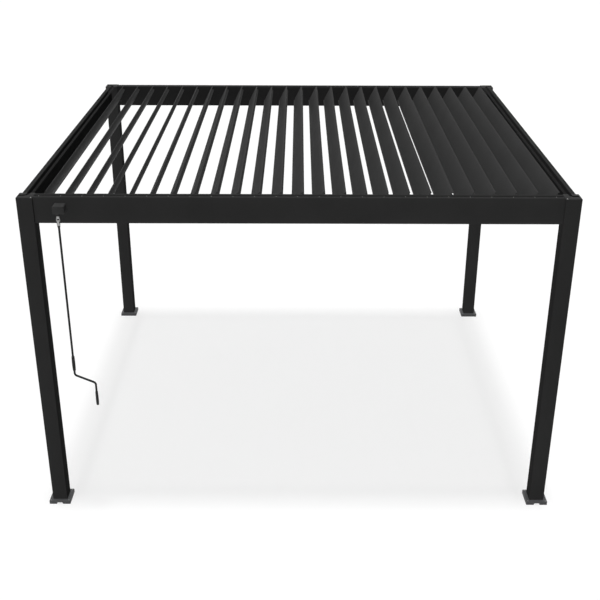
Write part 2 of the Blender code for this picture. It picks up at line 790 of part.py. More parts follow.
def build_crank():
    """The hanging crank, one piece with its lower yoke and its rings."""
    centre = at(CRANK_X, CRANK_Y, CROSS_HEIGHT)
    path = [(x, z - CROSS_HEIGHT) for x, z in crank_path()]
    crank = as_mesh(rod("crank_rod", path, ROD_RADIUS, "rod", centre))
    hub_end = -JOINT_REACH - JOINT_HUB
    hub = [
        (0.0, -JOINT_REACH),
        (JOINT_RADIUS - JOINT_CHAMFER, -JOINT_REACH),
        (JOINT_RADIUS, -JOINT_REACH - JOINT_CHAMFER),
        (JOINT_RADIUS, hub_end + HUB_TAPER),
        (ROD_RADIUS + HUB_NECK, hub_end),
        (0.0, hub_end),
    ]
    join(crank, turned("lower_hub", hub, None, centre))
    add_ears(crank, "Y", centre, -1)
    ring = [(0.0, RING_HEIGHT), (RING_RADIUS, RING_HEIGHT), (RING_RADIUS, 0.0), (0.0, 0.0)]
    rings = {
        "ring_over_sleeve": (0.0, SLEEVE_TOP + END_PLAY),
        "ring_under_sleeve": (0.0, SLEEVE_BOTTOM - RING_SPACE),
        "ring_over_grip": (CRANK_THROW, GRIP_TOP + END_PLAY),
    }
    for name, (x, z) in rings.items():
        join(crank, turned(name, ring, None, at(CRANK_X + x, CRANK_Y, z)))
    settle(crank)


def build_grips():
    """The sleeve and the closed grip that spin on the crank."""
    bore = ROD_RADIUS + GRIP_PLAY
    sleeve = [
        (bore, SLEEVE_LENGTH),
        (SLEEVE_RADIUS - GRIP_CHAMFER, SLEEVE_LENGTH),
        (SLEEVE_RADIUS, SLEEVE_LENGTH - GRIP_CHAMFER),
        (SLEEVE_RADIUS, GRIP_CHAMFER),
        (SLEEVE_RADIUS - GRIP_CHAMFER, 0.0),
        (bore, 0.0),
    ]
    place = at(CRANK_X, CRANK_Y, SLEEVE_BOTTOM)
    settle(turned("upper_sleeve", sleeve, "grip", place, ring=True))
    grip = [
        (0.0, GRIP_END),
        (bore, GRIP_END),
        (bore, GRIP_LENGTH),
        (GRIP_RADIUS - GRIP_CHAMFER, GRIP_LENGTH),
        (GRIP_RADIUS, GRIP_LENGTH - GRIP_CHAMFER),
        (GRIP_RADIUS, GRIP_NOSE),
        (GRIP_RADIUS - GRIP_NOSE, 0.0),
        (0.0, 0.0),
    ]
    settle(turned("lower_grip", grip, "grip", at(CRANK_X + CRANK_THROW, CRANK_Y, GRIP_BOTTOM)))


parts, cutters = clear_scene()
finishes = make_finishes()
build_posts()
build_feet()
build_caps()
build_beams()
build_blades()
build_drive_bar()
build_gearbox()
build_universal_joint()
build_crank()
build_grips()
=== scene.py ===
# %% [markdown]
# # A louvred garden pergola
#
# The real object is a flat roof of tilting aluminium blades on four square posts, all in a
# near-black powder coat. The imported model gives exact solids. This script dresses them: it
# rounds the edges that catch the light, adds the small fittings, and mixes every finish from
# nodes. Everything is in metres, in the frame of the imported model.

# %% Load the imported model
import json
import math

import bmesh
import bpy
from mathutils import Matrix, Vector


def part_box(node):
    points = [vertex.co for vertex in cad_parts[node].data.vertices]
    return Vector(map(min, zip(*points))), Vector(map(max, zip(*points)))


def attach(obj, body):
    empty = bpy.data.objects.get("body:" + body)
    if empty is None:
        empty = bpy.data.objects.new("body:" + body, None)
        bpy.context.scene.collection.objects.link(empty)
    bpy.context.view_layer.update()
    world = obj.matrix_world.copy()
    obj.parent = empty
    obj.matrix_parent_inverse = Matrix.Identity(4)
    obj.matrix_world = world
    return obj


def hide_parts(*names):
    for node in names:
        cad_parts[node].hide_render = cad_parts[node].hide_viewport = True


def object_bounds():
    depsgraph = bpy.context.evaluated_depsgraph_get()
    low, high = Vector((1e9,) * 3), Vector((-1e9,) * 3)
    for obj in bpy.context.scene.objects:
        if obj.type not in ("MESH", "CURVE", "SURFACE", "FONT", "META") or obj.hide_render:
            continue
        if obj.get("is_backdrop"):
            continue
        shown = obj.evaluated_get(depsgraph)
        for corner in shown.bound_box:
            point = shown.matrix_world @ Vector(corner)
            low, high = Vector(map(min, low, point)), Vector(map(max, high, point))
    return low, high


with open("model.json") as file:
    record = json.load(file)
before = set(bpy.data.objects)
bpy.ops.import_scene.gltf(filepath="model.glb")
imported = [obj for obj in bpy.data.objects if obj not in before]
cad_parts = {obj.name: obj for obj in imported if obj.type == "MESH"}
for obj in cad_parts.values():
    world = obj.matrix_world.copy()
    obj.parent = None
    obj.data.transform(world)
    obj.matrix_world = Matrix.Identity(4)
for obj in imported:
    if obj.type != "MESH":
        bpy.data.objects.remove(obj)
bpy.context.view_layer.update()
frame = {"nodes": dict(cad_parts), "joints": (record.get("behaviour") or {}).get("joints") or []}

# %% [markdown]
# ## The camera
#
# The picture is taken from in front of the roof and above it. The posts and the roof's edges
# give the lens, the place and the tilt of the camera. It is made first, since everything after
# it is judged through it.

# %% Camera
LENS = 58.415
SENSOR = 36.0
CAMERA_PLACE = Vector((-0.0023, -8.3222, 4.8558))
PITCH_DOWN = math.radians(24.9301)
YAW = math.radians(0.0890)
ROLL = math.radians(0.1794)

flat = math.cos(PITCH_DOWN)
ahead = Vector((math.sin(YAW) * flat, math.cos(YAW) * flat, -math.sin(PITCH_DOWN)))
level = Vector((math.cos(YAW), -math.sin(YAW), 0.0))
upward = level.cross(ahead)
camera_x = math.cos(ROLL) * level + math.sin(ROLL) * upward
camera_y = -math.sin(ROLL) * level + math.cos(ROLL) * upward

lens = bpy.data.cameras.new("camera")
lens.lens = LENS
lens.sensor_width = SENSOR
camera = bpy.data.objects.new("camera", lens)
facing = Matrix((camera_x, camera_y, -ahead)).transposed().to_4x4()
camera.matrix_world = Matrix.Translation(CAMERA_PLACE) @ facing
bpy.context.scene.collection.objects.link(camera)
bpy.context.scene.camera = camera
print("camera at", [round(v, 3) for v in camera.location])

# %% [markdown]
# ## Sums on sockets
#
# A finish is a graph of nodes, and its arithmetic is easier to read as a formula. `Wire` wraps
# an output socket so that `1 - mask` or `grain * 0.2` adds the Math node by itself. `Finish`
# makes one material, and its `node` method makes any node that isn't a sum.

# %% Wires and finishes
class Wire:
    """One output socket that can be used in a formula."""

    def __init__(self, finish, socket):
        self.finish = finish
        self.socket = socket

    def sum_of(self, operation, first, second):
        return self.finish.node("ShaderNodeMath", {"operation": operation}, {0: first, 1: second})

    def __add__(self, other):
        return self.sum_of("ADD", self, other)

    def __rsub__(self, other):
        return self.sum_of("SUBTRACT", other, self)

    def __mul__(self, other):
        return self.sum_of("MULTIPLY", self, other)

    def largest(self, other):
        return self.sum_of("MAXIMUM", self, other)

    __radd__ = __add__
    __rmul__ = __mul__


class Finish:
    """A material whose surface is one Principled shader."""

    def __init__(self, name):
        self.material = bpy.data.materials.new(name)
        self.material.use_nodes = True
        self.tree = self.material.node_tree
        self.shader = self.tree.nodes["Principled BSDF"]

    def node(self, kind, settings=None, inputs=None, output=0):
        """Any node: its settings first, then the values and links of its sockets."""
        made = self.tree.nodes.new(kind)
        for name, value in (settings or {}).items():
            setattr(made, name, value)
        for name, value in (inputs or {}).items():
            self.feed(made.inputs[name], value)
        return Wire(self, made.outputs[output])

    def feed(self, socket, value):
        if isinstance(value, Wire):
            self.tree.links.new(value.socket, socket)
        else:
            socket.default_value = value

    def surface(self, **values):
        """Feed the shader's sockets. An underscore stands for a space in a socket's name."""
        for name, value in values.items():
            self.feed(self.shader.inputs[name.replace("_", " ")], value)

    def place(self, stretch=(1.0, 1.0, 1.0)):
        """Object coordinates in metres, squeezed along each axis."""
        where = self.node("ShaderNodeTexCoord", output=3)
        return self.node("ShaderNodeMapping", None, {"Vector": where, "Scale": stretch})

    def noise(self, scale, detail=2.0, stretch=(1.0, 1.0, 1.0), roughness=0.5):
        """Soft noise from 0 to 1. The scale is in bumps per metre."""
        where = self.place(stretch)
        inputs = {"Vector": where, "Scale": scale, "Detail": detail, "Roughness": roughness}
        return self.node("ShaderNodeTexNoise", None, inputs)

    def spread(self, value, low, high):
        """Stretch the part of a value from low to high over 0 to 1."""
        inputs = {"Value": value, "From Min": low, "From Max": high}
        return self.node("ShaderNodeMapRange", None, inputs)

    def mix(self, share, first, second):
        """A colour between two colours."""
        inputs = {0: share, 6: (*first, 1.0), 7: (*second, 1.0)}
        return self.node("ShaderNodeMix", {"data_type": "RGBA"}, inputs, output=2)

    def bump(self, height, strength, distance):
        inputs = {"Height": height, "Strength": strength, "Distance": distance}
        return self.node("ShaderNodeBump", None, inputs)


# %% [markdown]
# ## The powder coat
#
# Powder is sprayed on dry and melted in an oven. Up close it has a fine grain and a slow
# orange-peel wave, and its gloss wanders a little where it lies thicker. One recipe serves
# the frame, the blades, the feet and the crank, each with its own colour and gloss.

# %% Powder coat
GRAIN = 1900.0
PEEL = 260.0
CLOUD = 2.3
HANDLING = 9.0


def powder_coat(name, colour, gloss, specular, grain=0.35, cloud=0.12):
    """A fine satin powder coat. Gloss is its roughness."""
    finish = Finish(name)
    fine = finish.noise(GRAIN, 2.0)
    peel = finish.noise(PEEL, 1.0)
    clouds = finish.spread(finish.noise(CLOUD, 4.0), 0.3, 0.7)
    smudges = finish.spread(finish.noise(HANDLING, 5.0, roughness=0.65), 0.45, 0.8)
    lighter = [v * (1 + cloud) for v in colour]
    darker = [v * (1 - cloud) for v in colour]
    speckle = finish.spread(fine, 0.35, 0.65) * 0.3
    finish.surface(
        Base_Color=finish.mix(clouds * 0.7 + speckle, darker, lighter),
        Roughness=smudges * 0.07 + (fine * 0.05 + (gloss - 0.05)),
        Specular_IOR_Level=specular,
        Normal=finish.bump(fine * grain + peel, 0.22, 0.0004),
    )
    return finish.material


FRAME_COLOUR = (0.0330, 0.0330, 0.0330)
BLADE_COLOUR = (0.0480, 0.0480, 0.0480)
# The inner colour is painted shade: a darker coat for the beam faces that look into the shaded
# roof.
INNER_SHADE_COLOUR = (0.0190, 0.0190, 0.0190)
FOOT_COLOUR = (0.0700, 0.0712, 0.0735)
ROD_COLOUR = (0.0220, 0.0225, 0.0235)
frame_coat = powder_coat("frame powder coat", FRAME_COLOUR, 0.52, 0.0006)
inner_shade_coat = powder_coat("inner powder coat painted shade", INNER_SHADE_COLOUR, 0.60, 0.002)
blade_coat = powder_coat("blade powder coat", BLADE_COLOUR, 0.50, 0.0015, cloud=0.08)
foot_coat = powder_coat("foot powder coat", FOOT_COLOUR, 0.50, 0.25, cloud=0.16)
rod_coat = powder_coat("crank powder coat", ROD_COLOUR, 0.40, 0.10, grain=0.2)
print("powder coats:", len(bpy.data.materials))

# %% [markdown]
# ## Mouldings and grips
#
# Caps, blade ends and the gearbox housing are moulded in a dense black plastic with a fine
# spark-eroded skin. The rubber strips share the recipe in a darker colour, and so does the
# near-black painted shade in the caps' grooves. The grips are softer and duller, and hands
# polish them in patches.

# %% Plastics
def moulding(name, colour, roughness, specular, skin=900.0):
    """A moulded plastic with a fine eroded skin."""
    finish = Finish(name)
    inputs = {"Vector": finish.place(), "Scale": skin}
    pits = finish.node("ShaderNodeTexVoronoi", {"feature": "SMOOTH_F1"}, inputs)
    drift = finish.spread(finish.noise(14.0, 3.0), 0.3, 0.7)
    polish = finish.spread(finish.noise(40.0, 4.0), 0.5, 0.8)
    finish.surface(
        Base_Color=finish.mix(drift, [v * 0.9 for v in colour], [v * 1.1 for v in colour]),
        Roughness=roughness - polish * 0.10,
        Specular_IOR_Level=specular,
        Normal=finish.bump(pits, 0.18, 0.0003),
    )
    return finish.material


cap_plastic = moulding("cap moulding", (0.0340, 0.0340, 0.0340), 0.52, 0.01)
# Near-black painted shade for the floor and walls of the caps' grooves.
groove_painted_shade = moulding("groove painted shade", (0.0060, 0.0060, 0.0060), 0.65, 0.01)
strip_rubber = moulding("strip rubber", (0.0140, 0.0140, 0.0140), 0.62, 0.004)
end_plastic = moulding("blade end moulding", (0.0170, 0.0173, 0.0178), 0.55, 0.05)
gearbox_plastic = moulding("gearbox moulding", (0.0420, 0.0420, 0.0420), 0.50, 0.03, 700.0)
grip_plastic = moulding("grip moulding", (0.0125, 0.0125, 0.0130), 0.62, 0.25, 1400.0)
nylon = moulding("bush nylon", (0.0550, 0.0560, 0.0580), 0.48, 0.3, 1100.0)

# %% [markdown]
# ## Bare metals
#
# The universal joint is machined steel, the screws are stainless, and the bar that ties the
# blades is left as it came from the press. Machining and drawing leave fine lines along or
# round a piece, so noise is squeezed along one axis to make them.

# %% Metals
def bare_metal(name, colour, roughness, stretch, lines=0.25):
    """A bare metal with fine drawn lines along the axis that is squeezed least."""
    finish = Finish(name)
    drawn = finish.noise(900.0, 2.0, stretch)
    tarnish = finish.spread(finish.noise(30.0, 5.0, roughness=0.6), 0.45, 0.75)
    finish.surface(
        Base_Color=finish.mix(tarnish, colour, [v * 0.82 for v in colour]),
        Metallic=1.0,
        Roughness=drawn * lines + (tarnish * 0.10 + (roughness - lines / 2)),
        Normal=finish.bump(drawn, 0.12, 0.0002),
    )
    return finish.material


joint_steel = bare_metal("joint steel", (0.40, 0.40, 0.395), 0.36, (1.0, 1.0, 0.08))
screw_steel = bare_metal("screw steel", (0.60, 0.60, 0.59), 0.30, (1.0, 1.0, 1.0), 0.1)
bar_metal = bare_metal("bar aluminium", (0.46, 0.465, 0.47), 0.42, (0.03, 1.0, 1.0))

# %% [markdown]
# ## Modelling helpers
#
# Every fitting starts from a cube, a circle or a short outline, and an operator does the
# rest. `piece` turns the finished bmesh into an object at the origin, with its place in its
# mesh, and lets it ride on the body that carries it.

# %% Helpers
SHARP = math.radians(35)
STANDING = Matrix.Rotation(math.pi / 2, 4, "X")
MERGE = 1e-6
EXACT = 1e-5
NEAR = 1e-4
RIM_ANGLE = 0.5
# A screw head's outline as shares of its radius, from the socket's floor round to below
SCREW_PROFILE = [
    (0.0, 0.18), (0.42, 0.18), (0.42, 0.56), (0.62, 0.52), (0.88, 0.34), (1.0, 0.10),
    (1.0, -0.20), (0.0, -0.20),
]


def at(x, y, z):
    return Matrix.Translation((x, y, z))


def edges_of(verts):
    return list({edge for vert in verts for edge in vert.link_edges})


def top_rim(shape, top):
    """The edges round the shape's flat top."""
    return [
        e for e in shape.edges
        if all(v.co.z > top - EXACT for v in e.verts) and e.calc_face_angle(0) > RIM_ANGLE
    ]


def round_off(shape, edges, radius, segments=2):
    """Round some edges."""
    return bmesh.ops.bevel(
        shape, geom=edges, offset=radius, offset_type="OFFSET", segments=segments,
        profile=0.5, affect="EDGES", material=-1, clamp_overlap=True,
    )["faces"]


def block(shape, low, high, radius=0.0, segments=2, wanted=None):
    """A box between two corners. wanted picks the edges to round, or else all are."""
    low, high = Vector(low), Vector(high)
    fitted = Matrix.Translation((low + high) / 2) @ Matrix.Diagonal((*(high - low), 1.0))
    verts = bmesh.ops.create_cube(shape, size=1.0, matrix=fitted)["verts"]
    if radius:
        edges = [e for e in edges_of(verts) if wanted is None or wanted(*(v.co for v in e.verts))]
        round_off(shape, edges, radius, segments)


def extrusion(shape, outline, start, end, place):
    """A solid from an outline in the place's XY plane, pushed along its Z."""
    corners = [shape.verts.new(place @ Vector((x, y, start))) for x, y in outline]
    face = shape.faces.new(corners)
    made = bmesh.ops.extrude_face_region(shape, geom=[face])["geom"]
    moved = [item for item in made if isinstance(item, bmesh.types.BMVert)]
    bmesh.ops.translate(shape, verts=moved, vec=place.to_3x3() @ Vector((0.0, 0.0, end - start)))
    return corners + moved


def turned(shape, profile, place, sides=32, ring=False):
    """A round piece about the place's Z, from (radius, height) points."""
    verts = [shape.verts.new(place @ Vector((radius, 0.0, height))) for radius, height in profile]
    pairs = list(zip(verts, verts[1:])) + ([(verts[-1], verts[0])] if ring else [])
    edges = [shape.edges.new(pair) for pair in pairs]
    axis = place.to_3x3() @ Vector((0.0, 0.0, 1.0))
    bmesh.ops.spin(
        shape, geom=verts + edges, cent=place.translation, axis=axis, angle=2 * math.pi,
        steps=sides, use_merge=True, use_duplicate=False,
    )


def dome_screw(shape, place, radius, sides=16):
    """A low domed screw head with a hexagon socket, standing on the place's XY plane."""
    turned(shape, [(radius * out, radius * up) for out, up in SCREW_PROFILE], place, sides)


def tidy(shape):
    """Merge doubled points and turn every face outwards."""
    bmesh.ops.remove_doubles(shape, verts=shape.verts, dist=MERGE)
    bmesh.ops.recalc_face_normals(shape, faces=shape.faces)
    return shape


def piece(name, shape, materials, body, replaced=()):
    """Make the object, let it ride on its body, and say what it stands for."""
    tidy(shape)
    mesh = bpy.data.meshes.new(name)
    shape.to_mesh(mesh)
    shape.free()
    for material in materials:
        mesh.materials.append(material)
    return show(name, mesh, body, replaced)


def show(name, mesh, body, replaced=()):
    mesh.shade_smooth()
    mesh.set_sharp_from_angle(angle=SHARP)
    item = bpy.data.objects.new(name, mesh)
    bpy.context.scene.collection.objects.link(item)
    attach(item, body)
    if replaced:
        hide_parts(*replaced)
    return item


def paint(faces, index):
    for face in faces:
        face.material_index = index


# %% [markdown]
# ## Where things are
#
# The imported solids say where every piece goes. A few inner sizes, such as the blade's
# section, are repeated here because a box can't tell them.

# %% Sizes
CORNERS = ["front_left", "front_right", "back_left", "back_right"]
POST_LOW, POST_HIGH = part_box("post_front_left")
FRONT = POST_LOW.y
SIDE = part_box("post_front_right")[1].x
POST = POST_HIGH.x - POST_LOW.x
BEAM_LOW, BEAM_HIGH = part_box("beam_front")
BEAM_TOP, BEAM_BASE = BEAM_HIGH.z, BEAM_LOW.z
FRONT_FACE, INNER_FRONT = BEAM_LOW.y, BEAM_HIGH.y
INNER_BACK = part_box("beam_back")[0].y
BACK_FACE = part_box("beam_back")[1].y
BLADES = sorted(name for name in frame["nodes"] if name.startswith("louvre_"))
PIVOTS = {joint["child"]: Vector(joint["pos_m"]) for joint in frame["joints"]}
PIVOT_HEIGHT = PIVOTS[BLADES[0]].z
print(len(BLADES), "blades,", "pivots at", round(PIVOT_HEIGHT, 4))

# %% [markdown]
# ## Posts
#
# Each post is a square tube with small round corners. Its ends are covered, so a solid cube
# with its upright edges rounded is enough, with a clean highlight down every corner. It stops
# just short of the cap, so that the seam shows.

# %% Posts
SEAM = 0.0008
POST_ROUND = 0.0032


def upright(first, second):
    return abs(first.z - second.z) > NEAR


for corner in CORNERS:
    low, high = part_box(f"post_{corner}")
    shape = bmesh.new()
    block(shape, low, (high.x, high.y, high.z - SEAM), POST_ROUND, 4, upright)
    piece(f"tube_{corner}", shape, [frame_coat], "frame", [f"post_{corner}"])
print("posts:", len(CORNERS))

# %% [markdown]
# ## Feet
#
# The foot is a low cast plate with round shoulders. A cube has its upright and top edges
# rounded, then its outer edge gets the drain mouth, cut as a real opening by a second solid.
# Four domed screws hold it down beside the post.

# %% Feet
FOOT_ROUND = 0.006
MOUTH = [(0.025, -0.01), (0.025, 0.0), (0.0235, 0.008), (0.019, 0.0135), (0.014, 0.015)]
MOUTH_DEPTH = 0.022
MOUTH_OVERRUN = 0.01
SHOULDER = 0.005
FOOT_SCREW = 0.0045
FOOT_SCREW_SUNK = 0.0016
FOOT_SCREW_FROM_POST = 0.013


def boolean(item, other, operation):
    """Apply an exact Boolean and throw the tool away."""
    step = item.modifiers.new("cut", "BOOLEAN")
    step.operation = operation
    step.solver = "EXACT"
    step.object = other
    bpy.context.view_layer.update()
    graph = bpy.context.evaluated_depsgraph_get()
    mesh = bpy.data.meshes.new_from_object(item.evaluated_get(graph))
    item.modifiers.clear()
    item.data = mesh
    bpy.data.objects.remove(other)
    return item


def loose(name, shape, materials=()):
    """A temporary object for a Boolean."""
    tidy(shape)
    mesh = bpy.data.meshes.new(name)
    shape.to_mesh(mesh)
    shape.free()
    for material in materials:
        mesh.materials.append(material)
    item = bpy.data.objects.new(name, mesh)
    bpy.context.scene.collection.objects.link(item)
    return item


for corner in CORNERS:
    low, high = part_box(f"foot_{corner}")
    middle = (low + high) / 2
    outward = -1 if corner.startswith("front") else 1
    shape = bmesh.new()
    block(shape, low, (high.x, high.y, high.z), FOOT_ROUND, 4, upright)
    round_off(shape, top_rim(shape, high.z), SHOULDER, 3)
    foot = loose(f"base_{corner}", shape, [foot_coat])
    outline = MOUTH + [(-x, z) for x, z in reversed(MOUTH)]
    cutter = bmesh.new()
    edge = low.y if outward < 0 else high.y
    inner = edge - outward * MOUTH_DEPTH
    drawn = at(middle.x, 0.0, 0.0) @ STANDING
    extrusion(cutter, outline, -(edge + outward * MOUTH_OVERRUN), -inner, drawn)
    boolean(foot, loose("mouth", cutter), "DIFFERENCE")
    foot.data.name = foot.name
    plate = foot.data
    bpy.data.objects.remove(foot)
    show(f"base_{corner}", plate, "frame", [f"foot_{corner}"])
    shape = bmesh.new()
    inset = POST / 2 + FOOT_SCREW_FROM_POST
    for side_x in (-1, 1):
        for side_y in (-1, 1):
            x, y = middle.x + side_x * inset, middle.y + side_y * inset
            dome_screw(shape, at(x, y, high.z - FOOT_SCREW_SUNK), FOOT_SCREW)
    piece(f"base_screws_{corner}", shape, [screw_steel], "frame")
print("feet:", len(CORNERS))

# %% [markdown]
# ## Caps
#
# A moulded cap closes each post. Its top carries an overflow groove, which leads from the
# side gutter's slot round to the outer edge, and from above that groove is the one dark line
# in the corner. The cap is a cube with its rim rounded, and the groove is cut by a bar that
# follows the bend. The groove's floor and walls are painted near-black, as painted shade, so
# that the shallow groove reads as a deep dark pocket. One screw holds the cap down.

# %% Caps
GROOVE_DEPTH = 0.0048
GROOVE_HALF = 0.0115
GROOVE_BEND = 0.026
GROOVE_STEPS = 6
GROOVE_ASIDE = 0.004
GROOVE_OVERRUN = 0.004
GROOVE_FROM_EDGE = 0.010
BEAM_SETBACK = 0.020
SLOT_MIDDLE = 0.0470
CAP_LOW = 0.0008
CAP_RIM = 0.0018
CAP_EDGE = 0.002
CAP_SCREW = 0.0045
CAP_SCREW_IN = 0.0100
CAP_SCREW_SUNK = 0.0008


def groove_path(corner):
    """The groove's centre line, from the side beam's slot to the outer edge."""
    low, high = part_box(f"cap_{corner}")
    left = corner.endswith("left")
    front = corner.startswith("front")
    outer = low.x if left else high.x
    inward = 1 if left else -1
    back = -1 if front else 1
    slot_x = outer + inward * (BEAM_SETBACK + SLOT_MIDDLE)
    start = Vector((slot_x, high.y if front else low.y))
    turn_y = (low.y + high.y) / 2 + back * -GROOVE_ASIDE
    overrun = Vector((0.0, back * GROOVE_OVERRUN))
    points = [start - overrun, Vector((start.x, turn_y - back * GROOVE_BEND))]
    for i in range(1, GROOVE_STEPS + 1):
        angle = math.pi / 2 * i / GROOVE_STEPS
        x = start.x - inward * GROOVE_BEND * (1 - math.cos(angle))
        y = turn_y - back * GROOVE_BEND * (1 - math.sin(angle))
        points.append(Vector((x, y)))
    points.append(Vector((outer + inward * GROOVE_FROM_EDGE, turn_y)))
    return points


def groove_cutter(path, top):
    """A bar with a flat floor along a path, made by moving a cross-section from point to point."""
    shape = bmesh.new()
    floor_z, over_z = top - GROOVE_DEPTH, top + GROOVE_OVERRUN
    rows = []
    for i, point in enumerate(path):
        before, after = path[max(i - 1, 0)], path[min(i + 1, len(path) - 1)]
        along = (after - before).normalized()
        across = Vector((-along.y, along.x)) * GROOVE_HALF
        row = []
        for side, z in ((-1, floor_z), (1, floor_z), (1, over_z), (-1, over_z)):
            row.append(shape.verts.new((point.x + side * across.x, point.y + side * across.y, z)))
        rows.append([shape.edges.new((row[k], row[(k + 1) % 4])) for k in range(4)])
    for first, second in zip(rows, rows[1:]):
        bmesh.ops.bridge_loops(shape, edges=first + second)
    bmesh.ops.edgeloop_fill(shape, edges=rows[0])
    bmesh.ops.edgeloop_fill(shape, edges=rows[-1])
    return shape


for corner in CORNERS:
    low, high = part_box(f"cap_{corner}")
    top = high.z - CAP_LOW
    shape = bmesh.new()
    block(shape, low, (high.x, high.y, top), POST_ROUND, 4, upright)
    round_off(shape, top_rim(shape, top), CAP_RIM, 3)
    cap = loose(f"cover_{corner}", shape, [cap_plastic])
    boolean(cap, loose("groove", groove_cutter(groove_path(corner), top)), "DIFFERENCE")
    cover = cap.data
    # The groove's floor and walls take the near-black painted shade.
    cover.materials.append(groove_painted_shade)
    for face in cover.polygons:
        middle = face.center
        inside_x = low.x + CAP_EDGE < middle.x < high.x - CAP_EDGE
        inside_y = low.y + CAP_EDGE < middle.y < high.y - CAP_EDGE
        if inside_x and inside_y and top - GROOVE_DEPTH - NEAR < middle.z < top - 2 * NEAR:
            face.material_index = 1
    cover.name = cap.name
    bpy.data.objects.remove(cap)
    show(f"cover_{corner}", cover, "frame", [f"cap_{corner}"])
    x = high.x - CAP_SCREW_IN if corner.endswith("left") else low.x + CAP_SCREW_IN
    y = low.y + CAP_SCREW_IN if corner.startswith("front") else high.y - CAP_SCREW_IN
    shape = bmesh.new()
    dome_screw(shape, at(x, y, top - CAP_SCREW_SUNK), CAP_SCREW)
    piece(f"cover_screw_{corner}", shape, [screw_steel], "frame")
print("caps:", len(CORNERS))

# %% [markdown]
# ## Gutter beams
#
# Each beam is one extrusion. The front and back ones are boxes whose top is open along a slot,
# with a lip turned down on each side of it. The side ones share the slot but open inwards, to
# a trough under a sloping soffit, so that the outer blades have room to turn and their drips
# are caught. An outline is pushed along each beam's length, and its outer corners are rounded,
# because those lines are what the light finds first. A rubber strip covers the side beams'
# inner flange. The faces towards the blades get a darker, duller coat, which is painted shade
# for the shadow inside the roof. The bores for the blades' pins are left out here, so the pins
# run into the wall behind their bushes.

# %% Beams
BEAM_THICKNESS = INNER_FRONT - FRONT_FACE
WALL = 0.003
OUTER_FLANGE = 0.033
INNER_FLANGE = 0.023
LIP = 0.012
TROUGH_DEPTH = 0.0461
TROUGH_LIP = 0.036
SOFFIT_EDGE = 0.0055
SOFFIT_FOOT = 0.049
STRIP_EDGE = 0.002
FLANGE_MARGIN = 0.001
BEAM_ROUND = 0.0016
INWARD = {
    "beam_front": Vector((0, 1, 0)),
    "beam_back": Vector((0, -1, 0)),
    "beam_left": Vector((1, 0, 0)),
    "beam_right": Vector((-1, 0, 0)),
}


def flange_outline(tall):
    """The outer face and the slot's outer flange, which all the beams share."""
    return [
        (WALL, WALL), (WALL, tall - WALL), (OUTER_FLANGE - WALL, tall - WALL),
        (OUTER_FLANGE - WALL, tall - LIP), (OUTER_FLANGE, tall - LIP), (OUTER_FLANGE, tall),
        (0.0, tall), (0.0, 0.0),
    ]


def box_outline(thick, tall):
    slot_in = thick - INNER_FLANGE
    return flange_outline(tall) + [
        (thick, 0.0), (thick, tall), (slot_in, tall), (slot_in, tall - LIP),
        (slot_in + WALL, tall - LIP), (slot_in + WALL, tall - WALL), (thick - WALL, tall - WALL),
        (thick - WALL, WALL),
    ]


def trough_outline(thick, tall):
    slot_in = thick - INNER_FLANGE
    wall_in = thick - TROUGH_DEPTH
    foot = tall - SOFFIT_FOOT
    rise = (tall - SOFFIT_EDGE - foot) / TROUGH_DEPTH
    over = WALL * math.hypot(1.0, rise)
    return flange_outline(tall) + [
        (thick, 0.0), (thick, TROUGH_LIP), (thick - WALL, TROUGH_LIP), (thick - WALL, WALL),
        (wall_in, WALL), (wall_in, foot), (thick, tall - SOFFIT_EDGE), (thick, tall),
        (slot_in, tall), (slot_in, foot + rise * (slot_in - wall_in) + over),
        (wall_in - WALL, foot - rise * WALL + over), (wall_in - WALL, WALL),
    ]


def beam_place(node):
    """A place whose X points inward and whose Y points up, at the middle of the outer face."""
    low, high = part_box(node)
    middle = (low + high) / 2
    inward = INWARD[node]
    size = high - low
    face = middle - Vector((inward.x * size.x, inward.y * size.y, 0.0)) / 2
    up = Vector((0.0, 0.0, 1.0))
    turn = Matrix((inward, up, inward.cross(up))).transposed().to_4x4()
    length = size.x if inward.y else size.y
    return Matrix.Translation((face.x, face.y, low.z)) @ turn, length


tall = BEAM_TOP - BEAM_BASE
for node in INWARD:
    place, length = beam_place(node)
    back_to_plan = place.inverted()
    shape = bmesh.new()
    outline = trough_outline if node in ("beam_left", "beam_right") else box_outline
    extrusion(shape, outline(BEAM_THICKNESS, tall), -length / 2, length / 2, place)
    tidy(shape)
    outer = []
    for edge in shape.edges:
        first, second = (back_to_plan @ v.co for v in edge.verts)
        along = abs(first.z - second.z) > length / 2
        on_side = min(abs(first.x), abs(first.x - BEAM_THICKNESS)) < NEAR
        on_slot = first.y > tall - NEAR
        if along and (on_side or on_slot):
            outer.append(edge)
    round_off(shape, outer, BEAM_ROUND, 3)
    shape.normal_update()
    for face in shape.faces:
        middle = back_to_plan @ face.calc_center_median()
        faces_blades = (back_to_plan.to_3x3() @ face.normal).x > 0.5
        on_flange = middle.x > BEAM_THICKNESS - INNER_FLANGE and middle.y > tall - STRIP_EDGE
        if outline is trough_outline and on_flange:
            face.material_index = 1
        # Faces that look at the blades take the darker coat, as painted shade.
        elif faces_blades and middle.x > OUTER_FLANGE + FLANGE_MARGIN:
            face.material_index = 2
    materials = [frame_coat, strip_rubber, inner_shade_coat]
    piece(node.replace("beam", "gutter"), shape, materials, "frame", [node])
print("beams:", len(INWARD))

# %% [markdown]
# ## Bushes and beam screws
#
# Every blade turns in two nylon bushes that are pressed into the front and back beams. They
# are turned shapes: a profile spun once round the pivot. Small screws along the front and
# back lips hold the bush strips, one beside each blade, and two domed bolts at each end of
# those beams' inner faces hold them to the posts.

